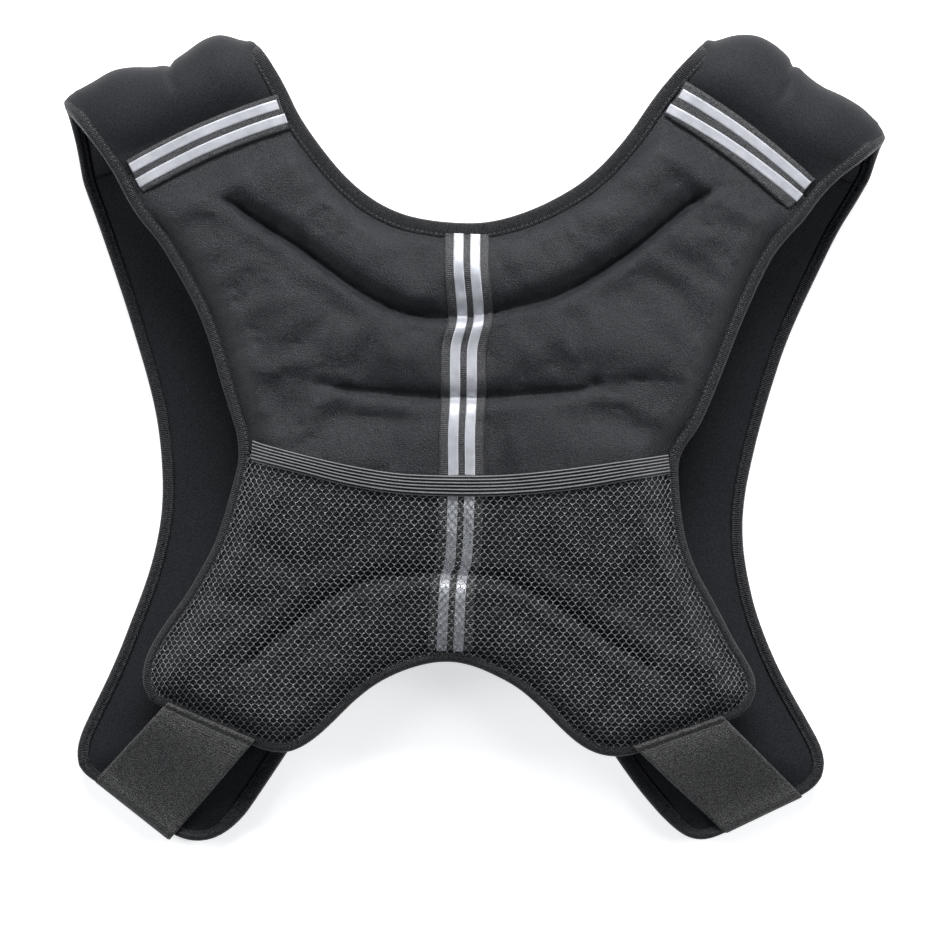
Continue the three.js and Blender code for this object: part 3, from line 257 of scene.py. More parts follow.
# %% Finishes: the large cloths
def brushed_cloth():
    material, tree, shader = finish_nodes("brushed back cloth", 0.39, 0.32, 0.02, 0.35)
    speckle(tree, shader, 1500, (0.0026, 0.0030, 0.0042), (0.0360, 0.0378, 0.0450),
            5.0, 0.38, 0.70)
    nap = bump(tree, shader, fine_noise(tree, 1500, 4.0), 1.0, 0.0008)
    bump(tree, shader, fine_noise(tree, 300), 0.2, 0.0010, nap)
    return material


def pocket_backing_cloth():
    material, tree, shader = finish_nodes("cloth behind the net", 0.6, 0.12, 0.0, 0.5)
    speckle(tree, shader, 1500, (0.0040, 0.0044, 0.0056), (0.0380, 0.0396, 0.0460),
            4.0, 0.38, 0.70)
    bump(tree, shader, fine_noise(tree, 1500, 4.0), 0.6, 0.0005)
    return material


def smooth_cloth():
    material, tree, shader = finish_nodes("smooth shoulder cloth", 0.6, 0.15, 0.03, 0.5)
    speckle(tree, shader, 1700, (0.0050, 0.0054, 0.0068), (0.0230, 0.0240, 0.0285),
            4.0, 0.35, 0.7)
    bump(tree, shader, fine_noise(tree, 2400), 0.6, 0.0003)
    return material


def lining_cloth():
    material, tree, shader = finish_nodes("front lining", 0.7, 0.15, 0.03, 0.5)
    speckle(tree, shader, 1500, (0.0045, 0.0050, 0.0066), (0.0210, 0.0222, 0.0270),
            4.0, 0.35, 0.7)
    bump(tree, shader, fine_noise(tree, 2400), 0.6, 0.0003)
    return material

# %% [markdown]
# Edge tape, webbing and elastic have a clear direction, so their ribs follow the cloth_mm pattern that
# each piece stores; the ribbed band's colour follows its ribs, with painted highlight on them and
# painted shade between them. The stripes, the threads and the clasps have none and need only a fine
# grain, but the net's thread has light flecks in its colour that are painted glints.

# %% Finishes: tapes, thread and clasps
rib_pitch = 1.75
first_rib = 0.95


def ribbed_tape():
    material, tree, shader = finish_nodes("edge tape", 0.5, 0.3, 0.03, 0.4)
    speckle(tree, shader, 1800, (0.0040, 0.0043, 0.0054), (0.0470, 0.0485, 0.0545),
            4.0, 0.40, 0.70)
    ribs = bump(tree, shader, cloth_lines(tree, "X", 0.95), 0.8, 0.0004)
    bump(tree, shader, fine_noise(tree, 2600), 0.7, 0.0004, ribs)
    return material


def sewing_thread():
    material, tree, shader = finish_nodes("sewing thread", 0.45, 0.6)
    speckle(tree, shader, 1500, (0.03, 0.031, 0.033), (0.12, 0.122, 0.13))
    return material


def twill_webbing():
    material, tree, shader = finish_nodes("twill webbing", 0.5, 0.5, 0.05, 0.4)
    speckle(tree, shader, 1900, (0.005, 0.0052, 0.0060), (0.095, 0.096, 0.104),
            4.0, 0.42, 0.70)
    twill = bump(tree, shader, cloth_lines(tree, "X", 1.05), 0.35, 0.0003)
    bump(tree, shader, fine_noise(tree, 2400), 0.7, 0.0004, twill)
    return material


def silver_stripe():
    material, tree, shader = finish_nodes("reflective stripe", 0.42, 0.5)
    speckle(tree, shader, 160, (0.42, 0.43, 0.465), (0.54, 0.55, 0.59), 4.0)
    shader.inputs["Metallic"].default_value = 0.3
    bump(tree, shader, fine_noise(tree, 2200), 0.4, 0.0003)
    return material


def net_thread_painted_glints():
    material, tree, shader = finish_nodes("net thread", 0.27, 1.0)
    # The light end of this speckle paints glints into the colour of a black thread
    speckle(tree, shader, 1100, (0.018, 0.0185, 0.019), (0.36, 0.365, 0.375),
            4.0, 0.36, 0.70)
    bump(tree, shader, fine_noise(tree, 900, 2.0), 0.5, 0.0004)
    return material


def knit_elastic():
    material, tree, shader = finish_nodes("knit elastic", 0.75, 0.3, 0.06, 0.5)
    speckle(tree, shader, 2100, (0.0050, 0.0050, 0.0052), (0.150, 0.150, 0.150),
            3.0, 0.42, 0.70)
    rows = bump(tree, shader, cloth_lines(tree, "X", 1.5), 0.2, 0.0003)
    bump(tree, shader, fine_noise(tree, 1900, 2.0), 0.8, 0.0004, rows)
    return material


def ribbed_elastic_painted_shade_highlight():
    """Painted light: the ribs are coloured bright as highlights and the gaps black as shade, following
    the same wave as the ribs' own shape.
    """
    material, tree, shader = finish_nodes("ribbed elastic", 0.6, 0.25, 0.02, 0.5)
    wave = cloth_lines(tree, "Y", rib_pitch, math.pi / 2 - 2 * math.pi * first_rib / rib_pitch)
    grain = fine_noise(tree, 1700, 3.0)
    mixed = add_node(tree, "ShaderNodeMath", operation="MULTIPLY_ADD")
    tree.links.new(grain, mixed.inputs[0])
    mixed.inputs[1].default_value = 1.6
    tree.links.new(wave, mixed.inputs[2])
    ramp = add_node(tree, "ShaderNodeValToRGB")
    ramp.color_ramp.elements[0].position = 0.35
    ramp.color_ramp.elements[1].position = 1.0
    # The dark end is painted shade in the gaps, the light end painted highlight on the ribs
    ramp.color_ramp.elements[0].color = (0.0030, 0.0030, 0.0034, 1)
    ramp.color_ramp.elements[1].color = (0.24, 0.242, 0.25, 1)
    halved = add_node(tree, "ShaderNodeMath", operation="MULTIPLY")
    tree.links.new(mixed.outputs[0], halved.inputs[0])
    halved.inputs[1].default_value = 0.55
    tree.links.new(halved.outputs[0], ramp.inputs["Fac"])
    tree.links.new(ramp.outputs["Color"], shader.inputs["Base Color"])
    bump(tree, shader, grain, 0.6, 0.0003)
    return material


def moulded_plastic():
    material, tree, shader = finish_nodes("moulded plastic", 0.45, 0.5)
    speckle(tree, shader, 600, (0.010, 0.010, 0.011), (0.015, 0.015, 0.016))
    bump(tree, shader, fine_noise(tree, 1800), 0.15, 0.0002)
    return material


sewing = sewing_thread()
back_cloth = brushed_cloth()
pocket_backing = pocket_backing_cloth()
pad_cloth = smooth_cloth()
lining = lining_cloth()
edge_tape = ribbed_tape()
webbing = twill_webbing()
silver = silver_stripe()
thread = net_thread_painted_glints()
elastic = knit_elastic()
band_elastic_painted_light = ribbed_elastic_painted_shade_highlight()
plastic = moulded_plastic()
print("finishes:", len(bpy.data.materials))

# %% [markdown]
# The floor is a plain pale plane that glows a little, so it stays as white as the photograph's ground
# and still takes the vest's soft shadow.

# %% Floor
floor_material, floor_tree, floor_shader = finish_nodes("pale floor", 0.9, 0.2)
speckle(floor_tree, floor_shader, 3, (0.90, 0.90, 0.90), (0.94, 0.94, 0.94))
floor_shader.inputs["Emission Color"].default_value = (1, 1, 1, 1)
floor_shader.inputs["Emission Strength"].default_value = 0.62
bpy.ops.mesh.primitive_plane_add(size=12, location=(0, 0, 0))
floor = bpy.context.object
floor.name = "floor"
floor.data.materials.append(floor_material)
print("floor:", floor.name)

# %% [markdown]
# ## Lines
# Every panel starts from its outline. We pass a smooth curve through measured points, even out the
# spacing and soften it a little, as cloth never turns a hard corner.

# %% Lines
def spline(points, step=1.5, soften=2.5):
    """A smooth line through points, with a point about every step millimetres."""
    p = np.array(points, float)
    knots = np.concatenate([[0], np.cumsum(np.sqrt(np.linalg.norm(np.diff(p, axis=0), axis=1)))])
    slope = np.diff(p, axis=0) / np.diff(knots)[:, None]
    weight = (np.diff(knots)[:-1] / (knots[2:] - knots[:-2]))[:, None]
    tangent = np.concatenate([slope[:1], slope[:-1] * (1 - weight) + slope[1:] * weight, slope[-1:]])
    out = []
    for k in range(len(p) - 1):
        width = knots[k + 1] - knots[k]
        t = np.linspace(0, 1, 17)[:-1, None]
        a, b = p[k], p[k + 1]
        ta, tb = tangent[k] * width, tangent[k + 1] * width
        out.append((2 * t**3 - 3 * t**2 + 1) * a + (t**3 - 2 * t**2 + t) * ta
                   + (3 * t**2 - 2 * t**3) * b + (t**3 - t**2) * tb)
    line = np.concatenate([*out, p[-1:]])
    line = even(line, max(4, int(length_of(line) / step)))
    return softened(line, soften / step)


def length_of(line):
    """The whole length of a line."""
    return np.linalg.norm(np.diff(line, axis=0), axis=1).sum()


def run_of(line):
    """The length run along a line at each of its points."""
    return np.concatenate([[0], np.cumsum(np.linalg.norm(np.diff(line, axis=0), axis=1))])


def even(line, count):
    """The same line with count points at even distances."""
    run = run_of(line)
    places = np.linspace(0, run[-1], count)
    return np.column_stack([np.interp(places, run, line[:, k]) for k in range(line.shape[1])])


def softened(line, sigma):
    """Rounds a line off with a bell-shaped average. Its two ends stay where they are."""
    if sigma <= 0:
        return line
    reach = min(int(3 * sigma) + 1, len(line) - 1)
    bell = np.exp(-0.5 * (np.arange(-reach, reach + 1) / sigma) ** 2)
    bell /= bell.sum()
    before = 2 * line[0] - line[1:reach + 1][::-1]
    after = 2 * line[-1] - line[-reach - 1:-1][::-1]
    long = np.concatenate([before, line, after])
    return np.column_stack([np.convolve(long[:, k], bell, "valid") for k in range(line.shape[1])])


def nearest(line, place):
    """Which point of a line lies nearest to a place."""
    return int(np.argmin(np.linalg.norm(line - np.asarray(place, float), axis=1)))


def stretch_of(line, start, end):
    """The part of a line between the points nearest to two places."""
    a, b = nearest(line, start), nearest(line, end)
    return line[a:b + 1] if a <= b else line[b:a + 1][::-1]


def sideways(line, towards):
    """Unit vectors square to a flat line, on the side of the place called towards."""
    run = np.gradient(line[:, :2], axis=0)
    run /= np.linalg.norm(run, axis=1)[:, None]
    side = np.column_stack([-run[:, 1], run[:, 0]])
    middle = len(line) // 2
    if np.dot(side[middle], np.asarray(towards, float) - line[middle, :2]) < 0:
        side = -side
    return side


def gap_to(line, places):
    """Distance from each place to a flat line, and how far along the line its nearest point is."""
    a, b = line[:-1, :2], line[1:, :2]
    ab = b - a
    size = (ab**2).sum(1)
    run = np.concatenate([[0], np.cumsum(np.sqrt(size))])
    gaps, alongs = [], []
    for start in range(0, len(places), 4000):
        p = places[start:start + 4000, None, :2]
        t = np.clip(((p - a) * ab).sum(-1) / size, 0, 1)
        distance = np.linalg.norm(p - a - t[..., None] * ab, axis=-1)
        best = distance.argmin(1)
        rows = np.arange(len(best))
        gaps.append(distance[rows, best])
        alongs.append(run[best] + t[rows, best] * np.sqrt(size[best]))
    return np.concatenate(gaps), np.concatenate(alongs)


def ease(t):
    """A soft step from 0 to 1 while t goes from 0 to 1."""
    t = np.clip(t, 0, 1)
    return t * t * (3 - 2 * t)


def blend_grid(left, right, first, last):
    """Fills a grid between four lines of points, so that it follows all four."""
    v = np.linspace(0, 1, len(left))[:, None, None]
    u = np.linspace(0, 1, len(first))[None, :, None]
    sides = left[:, None] * (1 - u) + right[:, None] * u
    ends = first[None] * (1 - v) + last[None] * v
    corners = ((first[0] * (1 - u) + first[-1] * u) * (1 - v) + (last[0] * (1 - u) + last[-1] * u) * v)
    return sides + ends - corners


def cloth_pattern(run, across):
    """Place along and across the cloth for each point of a grid, in the order of the grid's points."""
    grid = np.stack([np.repeat(run[:, None], len(across), 1), np.tile(across, (len(run), 1))], -1)
    return grid.reshape(-1, 2)


print("points in a trial line:", len(spline([(0, 0), (30, 10), (60, 0)])))

# %% [markdown]
# ## Outlines
# These are the finished edges of the back panel, read off the vest on both sides, because as it lies
# the two sides differ by a few millimetres. x runs to the wearer's right, y towards the shoulders.

# %% Outlines of the back
arm_right = spline([(177.8, 130.9), (172.3, 122.6), (164.9, 114.2), (157.7, 104.6), (152.1, 93.2),
                    (147.4, 81.9), (142.5, 69.3), (138.1, 56.9), (133.4, 43), (127.9, 27.5),
                    (121.6, 12.4), (114.6, 2.0), (112.3, -5.0), (113.1, -18.4), (114.8, -31.5),
                    (117.6, -44.7), (121.6, -55.6), (126.5, -65.2), (132.8, -75.3), (139.2, -86.3),
                    (145.6, -97.4), (151.9, -106.6), (156.6, -114.9), (157.8, -122.6),
                    (155.4, -130.1), (150.6, -135.6)])
arm_left = spline([(-184.0, 129.3), (-179.4, 120.9), (-171.7, 109.6), (-161.9, 98.8),
                   (-153.8, 86.7), (-145.6, 73.5), (-138.3, 59.8), (-132.3, 45), (-127, 28.6),
                   (-121.6, 13.2), (-116.6, -1.7), (-115.9, -14.1), (-118.7, -27.5),
                   (-121.9, -40.8), (-126.2, -55.6), (-133.4, -70.7), (-141.7, -85.8),
                   (-150.5, -98.7), (-157.1, -110), (-161.1, -120.4), (-162, -128.2),
                   (-160.5, -135.2), (-157.0, -140.0)])
neck_right = spline([(95.3, 187.4), (90.2, 180.0), (81.8, 166.4), (74.5, 156.4), (65.6, 146.0),
                     (55.5, 136.9), (43.4, 128.9), (31.5, 122.7), (19.5, 118), (7.1, 114.9),
                     (-0.4, 114.2)])
neck_left = spline([(-93.6, 170.6), (-91.6, 167.2), (-86.4, 159.6), (-78.2, 149.2), (-68.6, 138.4),
                    (-59, 129.9), (-48.2, 122.8), (-35.6, 117.6), (-21.9, 115.0), (-9.4, 114.2),
                    (-0.4, 114.2)])
arch_right = spline([(0.5, -113.6), (9.3, -115.1), (18.3, -118.3), (33.5, -125.7), (44, -133.9),
                     (54.9, -144.1), (64.1, -152.1), (71.6, -156.8), (79.0, -159.3),
                     (84.0, -159.8)])
arch_left = spline([(0.5, -113.6), (-8.4, -113.9), (-20, -116.8), (-33, -122.4), (-43.2, -129),
                    (-53.1, -138.0), (-62.9, -148.6), (-71.4, -156.7), (-78.5, -161.8),
                    (-84.0, -164.0)])
hem_right = spline([(84.0, -159.8), (91.0, -159.4), (104, -155.2), (122, -148.0), (138, -141.4),
                    (145.5, -138.6), (150.6, -135.6)])
hem_left = spline([(-84.0, -164.0), (-91.0, -164.6), (-100, -162.6), (-118, -155.8), (-136, -148.8),
                   (-149, -144.2), (-157.0, -140.0)])
for title, line in [("right arm edge", arm_right), ("left arm edge", arm_left)]:
    print(title, "is", round(length_of(line)), "mm long")

# %% [markdown]
# ## How high the layers lie
# Two layers lie on each other with air between them. The back rides highest at the shoulders and
# sinks to the hem. Knowing the middle height of each layer lets every piece find its own height.

# %% Heights of the layers
shoulder_rise = 212.0
half_span = 212.0
front_height = 8.0
rim_half = 2.0
# Every panel's mesh starts this far inside its finished edge, where the edge tape covers it
rim_line = 1.55
neck_width = 8.0
arm_width = 6.0
front_hem_width = 5.4


def back_middle(places):
    """Height of the middle of the back layer: a low hill that leans a little to one side."""
    x, y = places[..., 0], places[..., 1]
    y = y - x * (0.02 + 0.045 * y / shoulder_rise)
    level = np.where(y >= 0, 38 + 4 * y / 179, 38 + 10 * y / 162)
    side = np.minimum(1, np.abs(x) / half_span)
    return level + 3 * (1 - side**2) * ease((shoulder_rise - y) / shoulder_rise)


def pillow(t, fullness=2.3):
    """The rise of stuffed cloth from a seam: steep at the seam, level where it is full."""
    return 1 - (1 - np.clip(t, 0, 1)) ** fullness


def softest(fills, hardness=5.0):
    """The least of several fills, with the ridges between them rounded off."""
    total = sum(np.maximum(f, 1e-3) ** -hardness for f in fills)
    return total ** (-1 / hardness)


print("the back's middle rises to", round(float(back_middle(np.array([0.0, 60.0]))), 1), "mm")

# %% [markdown]
# ## The quilted back
# Three seams cross the back and the filling swells between them. The panel is two halves that meet on
# the centre line: each is a grid stretched between its own edges, so its rows follow the neckline at
# the top and the arch below. Heights come from the distance to the nearest edge and seam.

# %% Seams of the back
upper_seam = spline([(-131.3, 121.4), (-122.4, 119.1), (-116.5, 114.7), (-107, 108.9),
                     (-88.2, 98.2), (-69.3, 85.2), (-50.8, 73.8), (-35.1, 67.4), (-22.8, 65.2),
                     (-9, 65.1), (9, 67.2), (21.3, 71.2), (40.7, 76.5), (57.4, 84.8), (72.1, 94.7),
                     (87, 105.8), (98.7, 116.2), (109.1, 125.8), (118.1, 132.0), (127.0, 136.5)])
middle_seam = spline([(-73.2, 27.4), (-68.5, 26.5), (-40, 24.6), (-7.4, 23.5), (10.7, 24.5),
                      (38.2, 27.6), (61.7, 30.6), (67, 32.5)])
lower_seam = spline([(-113.4, -124.2), (-102.2, -111.8), (-88, -99.6), (-73.7, -87.2),
                     (-59.5, -77.8), (-45.2, -71.5), (-30.5, -69.2), (-8.5, -67.5), (22.4, -68.8),
                     (37.2, -74), (52.2, -81.6), (67.1, -90.5), (82.1, -100.2), (97.3, -108.5),
                     (109.3, -116.8)])
# Each seam: its line, how full the cloth is at it, and how far the swell reaches above and below it
seams = [
    (upper_seam, 0.14, 27.0, 10.0),
    (middle_seam, 0.34, 20.0, 11.0),
    (lower_seam, 0.20, 20.0, 13.0),
]
groove_depth = 2.1
groove_width = 1.15
# The short middle seam is tacked down hard at both ends, which leaves two small pits
pits = np.array([middle_seam[0], middle_seam[-1]])
pit_depth = 2.6
pit_width = 4.0
# Each edge of the back, with the width of the tape that is folded over it
back_edges = [
    (arm_right, arm_width), (arm_left, arm_width),
    (neck_right, neck_width), (neck_left, neck_width),
    (arch_right, arm_width), (arch_left, arm_width),
    (hem_right, arm_width), (hem_left, arm_width),
]
print("seams in millimetres:", [round(float(length_of(seam[0]))) for seam in seams])

# %% Heights of the back
back_up = 12.6
back_down = 8.0
edge_reach = 27.0
tape_half = 11.0
shoulder_seams = [np.array([neck_right[0], arm_right[0]]), np.array([neck_left[0], arm_left[0]])]


def ripple(along, away, amount, pitch, reach):
    """Small puckers across a seam: thread draws the cloth up, most of all right beside it."""
    heights = [noise.noise(Vector((s / pitch, d / 30, 3.7))) for s, d in zip(along, away)]
    return amount * np.array(heights) * np.exp(-away / reach) * ease(away / 3.0)


def back_fill(places):
    """How full the back is, its small puckers, and the distance in from its edge tapes."""
    flat = places.reshape(-1, places.shape[-1])[:, :2]
    edge_gaps = [gap_to(line, flat) for line, _ in back_edges]
    rims = [gap - width + 0.4 for (gap, _), (_, width) in zip(edge_gaps, back_edges)]
    rim = np.min(rims, axis=0)
    fills = [pillow(rim / edge_reach)]
    pucker = np.zeros(len(flat))
    for gap, along in edge_gaps:
        pucker += ripple(along, np.maximum(gap - 6, 0), 1.5, 5.5, 9.0)
    for line, floor, reach_above, reach_below in seams:
        gap, along = gap_to(line, flat)
        seam_y = np.interp(flat[:, 0], line[:, 0], line[:, 1])
        below = ease(0.5 + (seam_y - flat[:, 1]) / 3.0)
        reach = reach_above * (1 - below) + reach_below * below
        valley = np.hypot(gap, 0.7) - 0.7
        to_end = np.minimum(along, length_of(line) - along)
        tied = 0.35 + 0.65 * ease(to_end / 15)
        sunk = 1 - (1 - floor) * tied
        fills.append(sunk + (1 - sunk) * pillow(valley / reach))
        groove = groove_depth * ease(to_end / 10) * np.exp(-(gap / groove_width) ** 2)
        pucker += ripple(along, gap, 0.9, 6.5, 7.0) - groove
    for pit in pits:
        from_pit = np.linalg.norm(flat - pit, axis=1)
        pucker -= pit_depth * np.exp(-((from_pit / pit_width) ** 2))
    return softest(fills), pucker, np.clip(rim, 0, None)


swell_step = 3.0
swell_x = np.arange(-216, 216 + swell_step, swell_step)
swell_y = np.arange(-174, 216 + swell_step, swell_step)
swell = np.zeros((len(swell_y), len(swell_x)))


def read_grid(values, first_x, first_y, step, places):
    """Reads a grid of values at any places, blending between its four nearest points."""
    i = np.clip((places[..., 0] - first_x) / step, 0, values.shape[1] - 1.001)
    j = np.clip((places[..., 1] - first_y) / step, 0, values.shape[0] - 1.001)
    i0, j0 = i.astype(int), j.astype(int)
    u, v = i - i0, j - j0
    low = values[j0, i0] * (1 - u) + values[j0, i0 + 1] * u
    high = values[j0 + 1, i0] * (1 - u) + values[j0 + 1, i0 + 1] * u
    return low * (1 - v) + high * v


def back_heights(grid):
    """Heights of the back's outside and inside at a grid of places."""
    flat = grid.reshape(-1, 2)
    fill, pucker, rim = back_fill(flat)
    seam_gap = np.min([gap_to(line, flat)[0] for line in shoulder_seams], axis=0)
    channel = ease((seam_gap - tape_half + 2) / 20)
    waves = np.array([noise.noise(Vector((x / 42, y / 34, 1.3))) for x, y in flat])
    full_up = 4 + (back_up - 4) * channel
    full_down = 4 + (back_down - 4) * channel
    middle = back_middle(flat)
    swell_share = ease(rim / 12)
    top = middle + rim_half + (full_up - rim_half) * fill
    top = top + (pucker + 0.9 * waves) * swell_share * channel
    top = top + read_grid(swell, swell_x[0], swell_y[0], swell_step, flat) * ease(rim / 10) * channel
    bottom = middle - rim_half - (full_down - rim_half) * fill
    shape = grid.shape[:-1]
    return top.reshape(shape), bottom.reshape(shape)


print("grid for the swell:", swell.shape)

# %% Build the back
def inset(line, towards, amount):
    """A flat line moved sideways towards a place."""
    return line[:, :2] + sideways(line, towards) * amount


def half_back(neck, arm, arch, hem, upper_break, lower_break, inner):
    """Grid of one half of the back, from the shoulder seam to the hem."""
    rows = (87, 150, 78)
    columns = 112
    neck_in = inset(neck, (neck[0] + arm[0]) / 2 + (0, -60), rim_line)
    arm_in = inset(arm, (inner, -20), rim_line)
    arch_in = inset(arch, (arch[-1][0], -60), rim_line)
    hem_in = inset(hem, (inner, -60), rim_line)
    neck_in[-1] = (0, neck[-1][1] - rim_line)
    arch_in[0] = (0, arch[0][1] + rim_line)
    corner_low = (arch_in[-1] + hem_in[0]) / 2
    corner_out = (arm_in[-1] + hem_in[-1]) / 2
    arch_in[-1] = hem_in[0] = corner_low
    arm_in[-1] = hem_in[-1] = corner_out
    centre = np.array([neck_in[-1], arch_in[0]])
    inner_line = np.concatenate([even(neck_in, rows[0] + 1)[:-1], even(centre, rows[1] + 1)[:-1],
                                 even(arch_in, rows[2] + 1)])
    outer_line = np.concatenate([even(stretch_of(arm_in, arm_in[0], upper_break), rows[0] + 1)[:-1],
                                 even(stretch_of(arm_in, upper_break, lower_break), rows[1] + 1)[:-1],
                                 even(stretch_of(arm_in, lower_break, arm_in[-1]), rows[2] + 1)])
    first = even(np.array([inner_line[0], outer_line[0]]), columns)
    last = even(hem_in, columns)
    return blend_grid(inner_line, outer_line, first, last)


half_right = half_back(neck_right, arm_right, arch_right, hem_right, (131, 36), (123, -58), 60)
half_left = half_back(neck_left, arm_left, arch_left, hem_left, (-129, 36), (-127, -58), -60)
print("rows and columns of each half:", half_right.shape[:2], half_left.shape[:2])

# %% [markdown]
# ## Let the filling push
# Real stuffing pushes the cloth out unevenly, and sewn cloth answers with soft folds. We let Blender's
# cloth solver find them on a coarse copy of the panel that is pinned at its edges and seams. Only how
# far its top moved is kept, and every piece that lies on the back then follows the same swell.

# %% Cloth simulation of the back
def coarse_back():
    """A light closed copy of the back panel, in metres, for the cloth solver."""
    points, faces = [], []
    for half, order in ((half_right, 1), (half_left, -1)):
        light = half[::3, ::3]
        top, bottom = back_heights(light)
        mid = back_middle(light)
        top = mid + (top - mid) * 0.85
        slab_points, slab_faces = closed_slab(np.dstack([light, top]), np.dstack([light, bottom]))
        faces += [[int(v) + len(points) for v in face][::order] for face in slab_faces]
        points += slab_points.tolist()
    points, faces = join_halves(np.array(points), faces)
    mesh = bpy.data.meshes.new("coarse back")
    mesh.from_pydata(to_metres(points).tolist(), [], faces)
    coarse = bpy.data.objects.new("coarse back", mesh)
    bpy.context.scene.collection.objects.link(coarse)
    return coarse


def join_halves(points, faces):
    """Merges the two halves along the centre line and drops the wall between them."""
    rounded = np.round(points, 3)
    _, first, ids = np.unique(rounded, axis=0, return_index=True, return_inverse=True)
    ids = ids.ravel()
    merged = [[int(ids[v]) for v in face] for face in faces]
    seen = {}
    for face in merged:
        key = tuple(sorted(face))
        seen[key] = seen.get(key, 0) + 1
    return points[first], [face for face in merged if seen[tuple(sorted(face))] == 1]


def places_of(piece):
    """A piece's points, in the pattern's millimetres."""
    mesh = piece.data
    flat = np.empty(len(mesh.vertices) * 3)
    mesh.vertices.foreach_get("co", flat)
    return flat.reshape(-1, 3) / MM - pattern_shift


def simulate_swell():
    """Runs the cloth solver and returns how far the top rose, on the swell grid, in millimetres."""
    coarse = coarse_back()
    remesh = coarse.modifiers.new("even mesh", "REMESH")
    remesh.mode = "VOXEL"
    remesh.voxel_size = 0.0045
    depsgraph = bpy.context.evaluated_depsgraph_get()
    even_mesh = bpy.data.meshes.new_from_object(coarse.evaluated_get(depsgraph))
    coarse.modifiers.clear()
    coarse.data = even_mesh
    before = places_of(coarse)
    rim_gap = np.min([gap_to(line, before)[0] for line, _ in back_edges], axis=0)
    seam_gap = np.min([gap_to(line, before)[0] for line, _, _, _ in seams], axis=0)
    sewn = np.where((rim_gap < 9) | (seam_gap < 4.5), 1.0, 0.0)
    pins = coarse.vertex_groups.new(name="sewn")
    pins.add([int(i) for i in np.flatnonzero(sewn)], 1.0, "REPLACE")
    cloth = coarse.modifiers.new("cloth", "CLOTH")
    cloth.settings.vertex_group_mass = "sewn"
    cloth.settings.use_pressure = True
    cloth.settings.uniform_pressure_force = 4.0
    cloth.settings.effector_weights.gravity = 0.0
    cloth.settings.shrink_min = -0.06
    cloth.settings.tension_stiffness = 12
    cloth.settings.bending_stiffness = 0.4
    for frame_number in range(1, 21):
        bpy.context.scene.frame_set(frame_number)
    depsgraph = bpy.context.evaluated_depsgraph_get()
    moved = np.empty(len(before) * 3)
    coarse.evaluated_get(depsgraph).data.vertices.foreach_get("co", moved)
    moved = moved.reshape(-1, 3) / MM - pattern_shift
    bpy.context.scene.frame_set(1)
    bpy.data.objects.remove(coarse)
    upper = before[:, 2] > back_middle(before[:, :2]) + 1
    rise = np.clip(moved[upper, 2] - before[upper, 2], -largest_swell, largest_swell)
    spots = before[upper, :2]
    grid = np.stack(np.meshgrid(swell_x, swell_y), -1).reshape(-1, 2)
    result = np.zeros(len(grid))
    for start in range(0, len(grid), 500):
        distance = np.linalg.norm(grid[start:start + 500, None] - spots[None], axis=-1)
        weight = np.exp(-(distance / 4.0) ** 2) + 1e-9
        near = distance.min(1) < 8
        result[start:start + 500] = np.where(near, (weight * rise).sum(1) / weight.sum(1), 0)
    print("cloth points:", len(before), "greatest rise in millimetres:", round(float(rise.max()), 2))
    return result.reshape(len(swell_y), len(swell_x))


largest_swell = 4.0
risen = simulate_swell()
moved = np.abs(risen) > 0.05
swell[:] = (risen - np.median(risen[moved])) * 0.9 + 0.8 * moved

# %% Lay out the back panel
back_points, back_faces = [], []
for half in (half_right, half_left):
    top, bottom = back_heights(half)
    points, faces = padded_slab(np.dstack([half, top]), np.dstack([half, bottom]))
    start = sum(map(len, back_points))
    order = 1 if half is half_right else -1
    back_faces += [[v + start for v in face][::order] for face in faces]
    back_points.append(points)
points, faces = join_halves(np.concatenate(back_points), back_faces)
back_panel = new_mixed_piece("quilted_back", points, faces, back_cloth)
back_panel.data.materials.append(pocket_backing)
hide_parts("back_panel")

# %% [markdown]
# ## The front panels
# Underneath lie the two front panels. We see their smooth lining beyond the back's arm edges, with
# only a slight swell, so the same grid and the same pillow rise are enough.

# %% Outlines of the front panels
front_arm_right = spline([(206.5, 143.4), (201.4, 133.8), (195.4, 123.6), (189.6, 111.6),
                          (184.1, 98.8), (178.4, 85.7), (172.6, 71.5), (167, 56.0), (163, 42),
                          (158.9, 26.4), (154.9, 8.9), (151.9, -6.6), (150.2, -17.0),
                          (149.1, -29.5), (149.2, -41), (150.4, -51.9), (152.8, -63.6),
                          (157.2, -79.9), (163.8, -96.6), (171.9, -113.1), (180.4, -127.5),
                          (189.4, -142.0), (195.3, -152.3), (197.7, -161.0), (196.5, -168.0)])
front_arm_left = spline([(-205.4, 129.8), (-196.6, 108.4), (-188.0, 86.3), (-180.8, 67.2),
                         (-173.9, 47.5), (-167.2, 27.5), (-162.1, 9), (-158.9, -9.6),
                         (-157.2, -28.6), (-157.2, -41.5), (-158.4, -53), (-160.5, -65),
                         (-163.5, -77.1), (-167.3, -89.1), (-171.6, -101.6), (-177.2, -117.8),
                         (-183.9, -134.4), (-190.5, -149.2), (-195.2, -160.5), (-197.2, -169.6),
                         (-196.2, -177.0)])
front_in_right = spline([(101.0, 173.6), (84.1, 149.6), (66.0, 126.8), (50.1, 103.3), (39.0, 78.0),
                         (33.1, 48.8), (31.6, 16.8), (31.6, -15.1), (32.0, -47.1), (37.9, -79.0),
                         (54.1, -110.6), (75.9, -145.9), (98.0, -176.0), (111.0, -190.5)])
front_in_left = spline([(-101.0, 168.4), (-84.1, 145.2), (-66.0, 123.4), (-50.1, 100.7),
                        (-39.0, 76.0), (-33.1, 47.0), (-31.6, 15.0), (-31.6, -16.9), (-32.0, -48.9),
                        (-37.9, -81.0), (-54.1, -113.4), (-77.0, -150.9), (-96.0, -182.0),
                        (-106.7, -199.3)])
front_hem_right = spline([(111.0, -190.5), (118.6, -197.4), (126.2, -202.6), (134.0, -204.1),
                          (143.2, -201.0), (160.1, -191.6), (185.4, -178.4), (193.0, -173.4),
                          (196.5, -168.0)])
